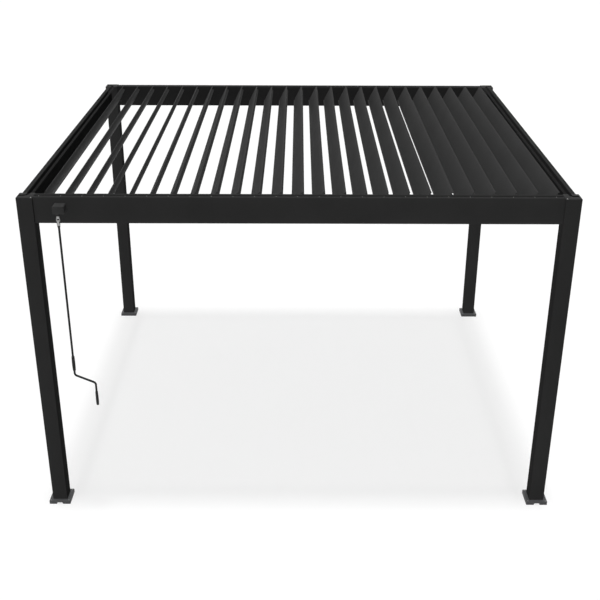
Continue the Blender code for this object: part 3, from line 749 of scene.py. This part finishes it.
# %% Bushes and screws
BUSH_RADIUS = 0.011
BUSH_COLLAR = 0.0036
BUSH_PROFILE = [
    (0.0056, -0.0015), (0.0056, BUSH_COLLAR - 0.0006), (0.0062, BUSH_COLLAR),
    (0.0085, BUSH_COLLAR), (0.0092, BUSH_COLLAR - 0.0007), (0.0092, 0.0016),
    (BUSH_RADIUS - 0.0005, 0.0016), (BUSH_RADIUS, 0.0011), (BUSH_RADIUS, -0.0015),
]


def facing_y(x, y, z, sign):
    """A place whose Z points along Y, to the back when sign is 1."""
    return at(x, y, z) @ Matrix.Rotation(-sign * math.pi / 2, 4, "X")


def facing_x(x, y, z, sign):
    return at(x, y, z) @ Matrix.Rotation(sign * math.pi / 2, 4, "Y")


for side, wall, sign in (("front", INNER_FRONT, 1), ("back", INNER_BACK, -1)):
    shape = bmesh.new()
    for blade in BLADES:
        place = facing_y(PIVOTS[blade].x, wall, PIVOT_HEIGHT, sign)
        turned(shape, BUSH_PROFILE, place, 24, ring=True)
    piece(f"bushes_{side}", shape, [nylon], "frame")

LIP_SCREW = 0.0026
SCREW_IN = OUTER_FLANGE - 0.0055
SCREW_ASIDE = -0.0079
for side, face, sign in (("front", FRONT_FACE, 1), ("back", BACK_FACE, -1)):
    shape = bmesh.new()
    for blade in BLADES:
        place = at(PIVOTS[blade].x + SCREW_ASIDE, face + sign * SCREW_IN, BEAM_TOP)
        dome_screw(shape, place, LIP_SCREW, 12)
    piece(f"lip_screws_{side}", shape, [joint_steel], "frame")

BOLT = 0.0075
BOLT_FROM_POST = 0.030
BOLT_ROWS = (0.045, 0.150)
shape = bmesh.new()
for sign_x in (-1, 1):
    for row in BOLT_ROWS:
        x = sign_x * (SIDE - POST - BOLT_FROM_POST)
        dome_screw(shape, facing_y(x, INNER_FRONT, BEAM_BASE + row, 1), BOLT, 20)
        dome_screw(shape, facing_y(x, INNER_BACK, BEAM_BASE + row, -1), BOLT, 20)
piece("beam_bolts", shape, [frame_coat], "frame")
print("bushes:", 2 * len(BLADES))

# %% [markdown]
# ## Blades
#
# A blade is a hollow extrusion, closed by a moulded plate at each end. Closed, its right lip
# lies over its neighbour's hook, so that rain runs into the side gutters. One blade is built
# flat about its pivot: the section is extruded and its long edges rounded, then the end
# plates, screws, lever and pins are added. The lip alone runs on to the front beam, over the
# drive bar, and stops a little shorter beside the posts. The mesh is copied to each pivot and
# tilted.

# %% One blade
TILT = math.radians(-60.5)
FRONT_GAP = 0.026
BACK_GAP = 0.018
BLADE_FRONT = INNER_FRONT + FRONT_GAP
BLADE_BACK = INNER_BACK - BACK_GAP
END_PLATE = 0.003
END_SHARE = 0.994
SECTION = [
    (-0.1005, -0.0165), (0.0505, -0.0165), (0.0505, 0.0149), (0.0723, 0.0149),
    (0.0735, 0.0102), (0.0805, 0.0102), (0.0817, 0.0114), (0.0817, 0.0150),
    (0.0700, 0.0190), (-0.0645, 0.0137), (-0.0660, 0.0085), (-0.0810, 0.0085),
    (-0.0825, 0.0137), (-0.0868, 0.0137), (-0.0868, -0.0137), (-0.0977, -0.0137),
    (-0.0977, -0.0060), (-0.1005, -0.0060),
]
SECTION_ROUND = 0.0006
SECTION_ANGLE = math.radians(25)
NOSE = [
    (0.0500, 0.0149), (0.0723, 0.0149), (0.0735, 0.0102), (0.0805, 0.0102),
    (0.0817, 0.0114), (0.0817, 0.0150), (0.0700, 0.0190), (0.0500, 0.0182),
]
NOSE_AIR = 0.002
NOSE_AIR_AT_POST = POST - (INNER_FRONT - FRONT) + NOSE_AIR
LEVER = 0.050
LEVER_ANGLE = math.radians(-150.5)
LEVER_HALF = 0.010
LEVER_THICKNESS = 0.005
LEVER_ROUND = 0.0007
LEVER_STEPS = 10
PIN = 0.005
PIN_CHAMFER = 0.0007
PIN_REACH = 0.007
DRIVE_PIN = 0.004
DRIVE_PIN_CHAMFER = 0.0006
DRIVE_PIN_END = 0.0005
END_SCREW = 0.0034
END_SCREWS = ((-0.061, -0.002), (0.024, 0.001))
BAR_AIR = 0.0135
BAR_FRONT = INNER_FRONT + BAR_AIR


def shrunk(outline, share):
    return [(x * share, y * share) for x, y in outline]


def runs_along(edge):
    """Whether an edge runs the length of the blade."""
    return abs(edge.verts[0].co.y - edge.verts[1].co.y) > 1.0


def pin_profile(radius, chamfer, length, both_ends):
    """A pin's outline from its near end, with one or both rims chamfered."""
    profile = [(0.0, 0.0), (radius - chamfer, 0.0), (radius, chamfer)]
    if both_ends:
        return profile + [(radius, length - chamfer), (radius - chamfer, length), (0.0, length)]
    return profile + [(radius, length), (0.0, length)]


def blade_shape(nose_air):
    """One blade, flat about its pivot: section, lip, end plates, lever, pins and screws."""
    shape = bmesh.new()
    extrusion(shape, SECTION, -(BLADE_BACK - END_PLATE), -(BLADE_FRONT + END_PLATE), STANDING)
    tidy(shape)
    long_edges = [
        edge for edge in shape.edges
        if runs_along(edge) and edge.calc_face_angle(0) > SECTION_ANGLE
    ]
    round_off(shape, long_edges, SECTION_ROUND, 2)
    extrusion(shape, NOSE, -(BLADE_FRONT + END_PLATE), -(INNER_FRONT + nose_air), STANDING)
    coat_faces = set(shape.faces)
    front_plate = (BLADE_FRONT, BLADE_FRONT + END_PLATE)
    back_plate = (BLADE_BACK - END_PLATE, BLADE_BACK)
    for start, end in (front_plate, back_plate):
        extrusion(shape, shrunk(SECTION, END_SHARE), -end, -start, STANDING)
    far = LEVER * Vector((math.cos(LEVER_ANGLE), math.sin(LEVER_ANGLE)))
    outline = []
    for centre, heading in ((Vector((0.0, 0.0)), LEVER_ANGLE + math.pi), (far, LEVER_ANGLE)):
        for i in range(LEVER_STEPS + 1):
            angle = heading - math.pi / 2 + math.pi * i / LEVER_STEPS
            outline.append(centre + LEVER_HALF * Vector((math.cos(angle), math.sin(angle))))
    verts = extrusion(shape, outline, -BLADE_FRONT, -(BLADE_FRONT - LEVER_THICKNESS), STANDING)
    rims = [e for e in edges_of(verts) if abs(e.verts[0].co.y - e.verts[1].co.y) < EXACT]
    round_off(shape, rims, LEVER_ROUND, 2)
    paint([face for face in shape.faces if face not in coat_faces], 1)
    plastic_faces = set(shape.faces)
    front_pin = (INNER_FRONT - PIN_REACH, BLADE_FRONT - 0.004)
    back_pin = (BLADE_BACK - 0.002, INNER_BACK + PIN_REACH)
    for start, end in (front_pin, back_pin):
        profile = pin_profile(PIN, PIN_CHAMFER, end - start, True)
        turned(shape, profile, facing_y(0.0, start, 0.0, 1), 20)
    start, end = BAR_FRONT - DRIVE_PIN_END, BLADE_FRONT - 0.003
    profile = pin_profile(DRIVE_PIN, DRIVE_PIN_CHAMFER, end - start, False)
    turned(shape, profile, facing_y(far.x, start, far.y, 1), 16)
    for x, z in END_SCREWS:
        dome_screw(shape, facing_y(x, BLADE_FRONT, z, -1), END_SCREW, 12)
        dome_screw(shape, facing_y(x, BLADE_BACK, z, 1), END_SCREW, 12)
    paint([face for face in shape.faces if face not in plastic_faces], 2)
    return tidy(shape)


patterns = {}
for air in (NOSE_AIR, NOSE_AIR_AT_POST):
    shape = blade_shape(air)
    pattern = bpy.data.meshes.new("blade")
    shape.to_mesh(pattern)
    shape.free()
    for material in (blade_coat, end_plastic, screw_steel):
        pattern.materials.append(material)
    patterns[air] = pattern

for blade in BLADES:
    beside_post = blade in (BLADES[0], BLADES[-1])
    mesh = patterns[NOSE_AIR_AT_POST if beside_post else NOSE_AIR].copy()
    mesh.name = f"{blade}_blade"
    mesh.transform(at(PIVOTS[blade].x, 0.0, PIVOT_HEIGHT) @ Matrix.Rotation(TILT, 4, "Y"))
    show(f"{blade}_blade", mesh, blade, [blade])
print("blades:", len(BLADES), "of", len(pattern.polygons), "faces")

# %% [markdown]
# ## Drive bar
#
# A flat bar joins the pins of all the levers. It is plain pressed aluminium with rounded
# edges and a drilled eye at each pin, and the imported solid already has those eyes. The bar
# keeps its solid and takes the bare metal. A push-on washer at each eye keeps it on its pins.

# %% Drive bar
for slot in frame["nodes"]["drive_bar"].material_slots:
    slot.material = bar_metal
BAR_PIN_HEIGHT = PIVOT_HEIGHT - LEVER
WASHER = [
    (0.0046, -0.0008), (0.0046, -0.0002), (0.0085, -0.0002), (0.0085, -0.0005),
    (0.0065, -0.0009),
]
shape = bmesh.new()
for blade in BLADES:
    place = facing_y(PIVOTS[blade].x, BAR_FRONT, BAR_PIN_HEIGHT, 1)
    turned(shape, WASHER, place, 16, ring=True)
piece("bar_washers", shape, [screw_steel], "drive_bar")

# %% [markdown]
# ## Gearbox
#
# The worm gear sits in a moulded housing on the front beam. It is a cube with generous round
# edges, a lid that is set back by a hair so that its parting line shows, a collar below for
# the shaft, and four small screws in its face.

# %% Gearbox
low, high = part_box("gearbox")
COLLAR_BOTTOM = low.z
COLLAR_HEIGHT = 0.019
COLLAR = 0.0150
COLLAR_BORE = 0.0075
COLLAR_CHAMFER = 0.0012
HOUSING_BOTTOM = low.z + COLLAR_HEIGHT
HOUSING_ROUND = 0.0068
HOUSING_NOSE = 0.0028
HOUSING_SCREW = 0.0032
HOUSING_SCREW_SUNK = 0.0022
HOUSING_SCREW_IN = 0.011
LID = 0.014
LID_SEAM = 0.0007
LID_INSET = 0.0012
CRANK_PLACE = PIVOTS["upper_yoke"]


def runs_deep(first, second):
    return abs(first.y - second.y) > NEAR


shape = bmesh.new()
base = (low.x, low.y + LID + LID_SEAM, HOUSING_BOTTOM)
block(shape, base, (high.x, high.y, high.z), HOUSING_ROUND, 5, runs_deep)
neck_low = (low.x + LID_INSET, low.y + LID - 0.001, HOUSING_BOTTOM + LID_INSET)
block(shape, neck_low, (high.x - LID_INSET, low.y + LID + 0.003, high.z - LID_INSET))
lid_low = (low.x, low.y, HOUSING_BOTTOM)
block(shape, lid_low, (high.x, low.y + LID, high.z), HOUSING_ROUND, 5, runs_deep)
nose = [
    e for e in shape.edges
    if all(v.co.y < low.y + EXACT for v in e.verts) and e.calc_face_angle(0) > RIM_ANGLE
]
round_off(shape, nose, HOUSING_NOSE, 3)
turned(shape, [
    (COLLAR_BORE, HOUSING_BOTTOM + 0.004), (COLLAR, HOUSING_BOTTOM + 0.004),
    (COLLAR, COLLAR_BOTTOM + COLLAR_CHAMFER), (COLLAR - COLLAR_CHAMFER, COLLAR_BOTTOM),
    (COLLAR_BORE, COLLAR_BOTTOM),
], at(CRANK_PLACE.x, CRANK_PLACE.y, 0.0), 32, ring=True)
piece("gear_housing", shape, [gearbox_plastic], "frame", ["gearbox"])
shape = bmesh.new()
for x in (low.x + HOUSING_SCREW_IN, high.x - HOUSING_SCREW_IN):
    for z in (HOUSING_BOTTOM + HOUSING_SCREW_IN, high.z - HOUSING_SCREW_IN):
        place = facing_y(x, low.y + HOUSING_SCREW_SUNK, z, -1)
        dome_screw(shape, place, HOUSING_SCREW, 16)
piece("housing_screws", shape, [rod_coat], "frame")

# %% [markdown]
# ## Universal joint
#
# Two forks turn on a small cross. A fork is a turned hub and two ears with round ends, and
# the upper hub has a domed shoulder. The ears are outlines pushed to their thickness, and the
# cross is a ball with two turned pins whose heads show in the ears.

# %% Universal joint
CROSS = PIVOTS["joint_cross"]
JOINT_RADIUS = 0.013
JOINT_HUB = 0.018
JOINT_REACH = 0.018
JOINT_BOSS = 0.003
JOINT_BALL = 0.0085
BALL_STEPS = 16
JOINT_CHAMFER = 0.001
JOINT_RING = 0.0006
SHAFT = 0.0060
SHAFT_RISE = 0.012
EAR_HALF = 0.0055
EAR_THICKNESS = 0.004
EAR_SHORT = 0.0002
EAR_ROUND = 0.0005
EAR_STEPS = 12
EAR_RIM_ANGLE = 0.9
CROSS_PIN = 0.0025
CROSS_CHAMFER = 0.0004


def fork(shape, hub_side, ears_along):
    """A hub with two ears. hub_side is 1 when the hub is above the cross."""
    start, end = JOINT_REACH, JOINT_REACH + JOINT_HUB
    place = at(*CROSS) if hub_side > 0 else at(*CROSS) @ Matrix.Rotation(math.pi, 4, "X")
    foot = [
        (0.0, start - JOINT_BOSS), (0.0060, start - JOINT_BOSS), (0.0070, start),
        (JOINT_RADIUS - JOINT_CHAMFER, start), (JOINT_RADIUS, start + JOINT_CHAMFER),
    ]
    if hub_side > 0:
        head = [
            (JOINT_RADIUS, start + 0.0050), (JOINT_RADIUS - JOINT_RING, start + 0.0055),
            (JOINT_RADIUS - JOINT_RING, start + 0.0065), (JOINT_RADIUS - 0.0002, start + 0.0070),
            (JOINT_RADIUS * 0.93, start + 0.0105), (JOINT_RADIUS * 0.80, end - 0.0035),
            (JOINT_RADIUS * 0.62, end), (SHAFT, end), (SHAFT, end + SHAFT_RISE),
            (0.0, end + SHAFT_RISE),
        ]
    else:
        head = [
            (JOINT_RADIUS, end - 0.0055), (JOINT_RADIUS - JOINT_RING, end - 0.005),
            (JOINT_RADIUS - JOINT_RING, end - 0.004), (JOINT_RADIUS, end - 0.0035),
            (JOINT_RADIUS, end - JOINT_CHAMFER), (JOINT_RADIUS - JOINT_CHAMFER, end),
            (0.0, end),
        ]
    turned(shape, foot + head, place, 32)
    root = JOINT_REACH + JOINT_CHAMFER
    outline = [(-EAR_HALF, root), (EAR_HALF, root)]
    for i in range(EAR_STEPS + 1):
        angle = math.pi * i / EAR_STEPS
        outline.append((EAR_HALF * math.cos(angle), -EAR_HALF * math.sin(angle)))
    turn = Matrix.Rotation(math.pi / 2, 4, "Z") if ears_along == "X" else Matrix.Identity(4)
    for side in (-1, 1):
        inner, outer = JOINT_RADIUS - EAR_THICKNESS, JOINT_RADIUS - EAR_SHORT
        spot = place @ turn @ STANDING
        start_z, end_z = sorted((side * inner, side * outer))
        verts = extrusion(shape, outline, start_z, end_z, spot)
        rims = [e for e in edges_of(verts) if e.calc_face_angle(0) > EAR_RIM_ANGLE]
        round_off(shape, rims, EAR_ROUND, 2)


shape = bmesh.new()
fork(shape, 1, "X")
piece("upper_fork", shape, [joint_steel], "upper_yoke", ["upper_yoke"])
shape = bmesh.new()
ball = []
for i in range(BALL_STEPS + 1):
    angle = math.pi * i / BALL_STEPS
    ball.append((JOINT_BALL * math.sin(angle), -JOINT_BALL * math.cos(angle)))
turned(shape, ball, at(*CROSS), 32)
reach, head = JOINT_RADIUS, CROSS_PIN - CROSS_CHAMFER
for place in (facing_x(*CROSS, 1), facing_y(*CROSS, 1)):
    turned(shape, [
        (0.0, -reach), (head, -reach), (CROSS_PIN, -reach + CROSS_CHAMFER),
        (CROSS_PIN, reach - CROSS_CHAMFER), (head, reach), (0.0, reach),
    ], place, 20)
piece("cross_piece", shape, [joint_steel], "joint_cross", ["joint_cross"])

# %% [markdown]
# ## Crank
#
# The crank is one bent rod. A circle is pushed down, spun round each elbow, and pushed on, so
# that the tube keeps a true round section through both bends. Collars hold the loose sleeve
# and the grip in place, and a thicker tube stiffens the bare parts between them.

# %% Crank
ROD = 0.0065
TUBE = 0.0080
TUBE_HEAD = 0.0105
SLEEVE_LOW, SLEEVE_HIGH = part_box("upper_sleeve")
GRIP_LOW, GRIP_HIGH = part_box("lower_grip")
ELBOW_HEIGHT = 1.204
ARM_DROP = 0.068
THROW = 0.153
ELBOW_ANGLE = math.atan2(THROW, ARM_DROP)
TRUE_BEND = 0.026
ROD_SIDES = 24
ROD_INTO_HUB = 0.004
ROD_INTO_GRIP = 0.006
RING_HEIGHT = 0.004
RING_AIR = 0.0005
TUBE_AIR = 0.0048
INNER_TUBE = 0.0062
COLLAR_RING = [
    (INNER_TUBE, 0.0), (0.0088, 0.0), (0.0095, 0.0007), (0.0095, 0.0033),
    (0.0088, RING_HEIGHT), (INNER_TUBE, RING_HEIGHT),
]


def push(shape, rim, travel):
    """Extrude a ring of edges and move it on. The new ring comes back."""
    made = bmesh.ops.extrude_edge_only(shape, edges=rim)["geom"]
    verts = {item for item in made if isinstance(item, bmesh.types.BMVert)}
    bmesh.ops.translate(shape, verts=list(verts), vec=travel)
    edges = [item for item in made if isinstance(item, bmesh.types.BMEdge)]
    return [edge for edge in edges if set(edge.verts) <= verts]


def bend(shape, rim, centre, angle, steps=8):
    """Spin a ring of edges round an elbow. The last ring comes back."""
    verts = list({vert for edge in rim for vert in edge.verts})
    made = bmesh.ops.spin(
        shape, geom=verts + rim, cent=centre, axis=(0.0, 1.0, 0.0), angle=angle, steps=steps,
        use_duplicate=False,
    )["geom_last"]
    return [item for item in made if isinstance(item, bmesh.types.BMEdge)]


def bent_tube(shape, radius, top, bottom):
    """A round bar from one height to another, round both elbows."""
    x, y = CRANK_PLACE.x, CRANK_PLACE.y
    elbow = Vector((x, y, ELBOW_HEIGHT))
    tangent = TRUE_BEND * math.tan(ELBOW_ANGLE / 2)
    made = bmesh.ops.create_circle(
        shape, cap_ends=False, radius=radius, segments=ROD_SIDES, matrix=at(x, y, top),
    )["verts"]
    rim = edges_of(made)
    first_rim = list(rim)
    rim = push(shape, rim, (0.0, 0.0, elbow.z + tangent - top))
    rim = bend(shape, rim, (x + TRUE_BEND, y, elbow.z + tangent), -ELBOW_ANGLE)
    arm = math.hypot(THROW, ARM_DROP) - 2 * tangent
    direction = Vector((math.sin(ELBOW_ANGLE), 0.0, -math.cos(ELBOW_ANGLE)))
    rim = push(shape, rim, direction * arm)
    lower = Vector((x + THROW, y, ELBOW_HEIGHT - ARM_DROP))
    rim = bend(shape, rim, (lower.x - TRUE_BEND, y, lower.z - tangent), ELBOW_ANGLE)
    rim = push(shape, rim, (0.0, 0.0, bottom - (lower.z - tangent)))
    bmesh.ops.edgeloop_fill(shape, edges=first_rim)
    bmesh.ops.edgeloop_fill(shape, edges=rim)


shape = bmesh.new()
hub_end = CROSS.z - JOINT_REACH - JOINT_HUB
bent_tube(shape, ROD, hub_end + ROD_INTO_HUB, GRIP_LOW.z + ROD_INTO_GRIP)
bent_tube(shape, TUBE, SLEEVE_LOW.z - TUBE_AIR, GRIP_HIGH.z + TUBE_AIR)
rings = [
    (0.0, SLEEVE_HIGH.z + RING_AIR), (0.0, SLEEVE_LOW.z - RING_AIR - RING_HEIGHT),
    (THROW, GRIP_HIGH.z + RING_AIR),
]
for x, z in rings:
    turned(shape, COLLAR_RING, at(CRANK_PLACE.x + x, CRANK_PLACE.y, z), 32, ring=True)
tube_low, tube_high = SLEEVE_HIGH.z + TUBE_AIR, hub_end - 0.0003
turned(shape, [
    (INNER_TUBE, tube_low), (TUBE - 0.0005, tube_low), (TUBE, tube_low + 0.0005),
    (TUBE, tube_high - 0.0130), (TUBE_HEAD, tube_high - 0.0110),
    (TUBE_HEAD, tube_high - 0.0010), (TUBE_HEAD - 0.0010, tube_high), (INNER_TUBE, tube_high),
], at(CRANK_PLACE.x, CRANK_PLACE.y, 0.0), 32, ring=True)
piece("bent_rod", shape, [rod_coat], "crank", ["crank_rod"])
shape = bmesh.new()
fork(shape, -1, "Y")
piece("lower_fork", shape, [joint_steel], "crank")

# %% [markdown]
# ## Sleeve and grip
#
# Both are moulded tubes that spin on the rod. A swelling in the middle fits the palm, and
# shallow rings near the ends stop the hand from sliding. Each is one spun profile.

# %% Sleeve and grip
GRIP_BORE = 0.0071
GRIP_END = 0.004
GRIP_STEPS = 40
SWELL = 0.0009
RING_ZONE = (0.007, 0.020)
RING_DEPTH = 0.0005
RING_SPACING = 0.0044


def grip_profile(bore, radius, low, high, closed):
    """The outer side from top to bottom, with rings near both ends."""
    length = high - low
    points = [(bore, high), (radius - 0.0018, high), (radius - 0.0008, high - 0.0008)]
    for i in range(1, GRIP_STEPS):
        t = i / GRIP_STEPS
        swell = -SWELL + SWELL * math.sin(math.pi * t)
        near_end = min(t, 1 - t) * length
        if RING_ZONE[0] < near_end < RING_ZONE[1]:
            wave = math.cos(2 * math.pi * near_end / RING_SPACING)
            swell -= RING_DEPTH * (0.5 + 0.5 * wave)
        points.append((radius + swell, high - length * t))
    points += [(radius - SWELL, low + 0.0018), (radius - 0.0030, low)]
    return points + ([(0.0, low)] if closed else [(bore, low)])


for name, node, aside, low, high, radius, closed in (
    ("turning_sleeve", "upper_sleeve", 0.0, SLEEVE_LOW.z, SLEEVE_HIGH.z, 0.0125, False),
    ("turning_grip", "lower_grip", THROW, GRIP_LOW.z, GRIP_HIGH.z, 0.0110, True),
):
    shape = bmesh.new()
    outline = grip_profile(GRIP_BORE, radius, low, high, closed)
    if closed:
        outline = [(0.0, low + GRIP_END), (GRIP_BORE, low + GRIP_END)] + outline
    turned(shape, outline, at(CRANK_PLACE.x + aside, CRANK_PLACE.y, 0.0), 40, ring=not closed)
    piece(name, shape, [grip_plastic], node, [node])
print("grips: 2")

# %% [markdown]
# ## Floor and light
#
# A plain pale studio. One broad light stands straight above, so that the roof's shadow lies
# between the feet. Four fills, from above, from the front left, from behind and up from the
# pale floor, cast no shadow of their own, so that the blades stay evenly lit on every side.
# Camera and mirror rays see the floor and the surroundings as white, as in a product picture,
# while other rays see a plain grey room.

# %% Floor
FLOOR_HALF = 60.0
shape = bmesh.new()
bmesh.ops.create_grid(shape, x_segments=1, y_segments=1, size=FLOOR_HALF)
mesh = bpy.data.meshes.new("floor")
shape.to_mesh(mesh)
shape.free()
floor = bpy.data.objects.new("floor", mesh)
bpy.context.scene.collection.objects.link(floor)
floor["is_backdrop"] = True

SHADOW_SHARE = 0.90
PAPER = (1.0, 1.0, 1.0)
PAPER_BOUNCE = (0.20, 0.20, 0.20)
paper = Finish("floor paper")
rays = paper.tree.nodes.new("ShaderNodeLightPath")
seen = Wire(paper, rays.outputs["Is Camera Ray"])
for ray in ("Is Glossy Ray", "Is Transmission Ray"):
    seen = seen.largest(Wire(paper, rays.outputs[ray]))
colour = paper.mix(seen, PAPER_BOUNCE, PAPER)
paper.surface(Base_Color=colour, Roughness=0.9, Specular_IOR_Level=0.0)
glow = paper.node("ShaderNodeEmission", None, {"Color": (1.0, 1.0, 1.0, 1.0), "Strength": 1.0})
lit = Wire(paper, paper.shader.outputs[0])
blend = paper.node("ShaderNodeMixShader", None, {0: seen * (1 - SHADOW_SHARE), 1: lit, 2: glow})
paper.tree.links.new(blend.socket, paper.tree.nodes["Material Output"].inputs["Surface"])
mesh.materials.append(paper.material)

# %% World and lamps
ROOM = 0.10
world = bpy.data.worlds.new("studio")
bpy.context.scene.world = world
world.use_nodes = True
tree = world.node_tree
ground = tree.nodes["Background"]
ground.inputs["Color"].default_value = (1.0, 1.0, 1.0, 1.0)
path = tree.nodes.new("ShaderNodeLightPath")


def world_math(operation, first, second):
    made = tree.nodes.new("ShaderNodeMath")
    made.operation = operation
    for socket, value in zip(made.inputs, (first, second)):
        if isinstance(value, float):
            socket.default_value = value
        else:
            tree.links.new(value, socket)
    return made.outputs[0]


shown = world_math("MAXIMUM", path.outputs["Is Camera Ray"], path.outputs["Is Glossy Ray"])
shown = world_math("MAXIMUM", shown, path.outputs["Is Transmission Ray"])
strength = world_math("ADD", world_math("MULTIPLY", shown, 1.0 - ROOM), ROOM)
tree.links.new(strength, ground.inputs["Strength"])


def broad_light(name, source, share, spread, shadow=True):
    """A far light from a direction. Share is how bright it makes a white sheet that faces it."""
    lamp = bpy.data.lights.new(name, "SUN")
    lamp.energy = share * math.pi
    lamp.angle = math.radians(spread)
    lamp.use_shadow = shadow
    item = bpy.data.objects.new(name, lamp)
    item.rotation_euler = Vector(source).to_track_quat("Z", "Y").to_euler()
    item.visible_glossy = False
    bpy.context.scene.collection.objects.link(item)


broad_light("overhead", (0.0, 0.0, 1.0), 0.28, 8.0)
broad_light("overhead fill", (0.0, 0.0, 1.0), 0.51, 30.0, shadow=False)
broad_light("front left fill", (-0.38, -0.72, 0.24), 0.465, 30.0, shadow=False)
broad_light("back fill", (0.0, 1.0, 0.1), 0.25, 30.0, shadow=False)
broad_light("floor fill", (0.0, -0.05, -1.0), 0.90, 30.0, shadow=False)
bpy.context.scene.view_settings.view_transform = "Standard"

# %% [markdown]
# ## Sizes, and the end
#
# The dressed object's size is printed at the end. The dressed object has to stay inside the
# imported one.

# %% Finish
low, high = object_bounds()
print("dressed model:", [round(v, 3) for v in high - low])
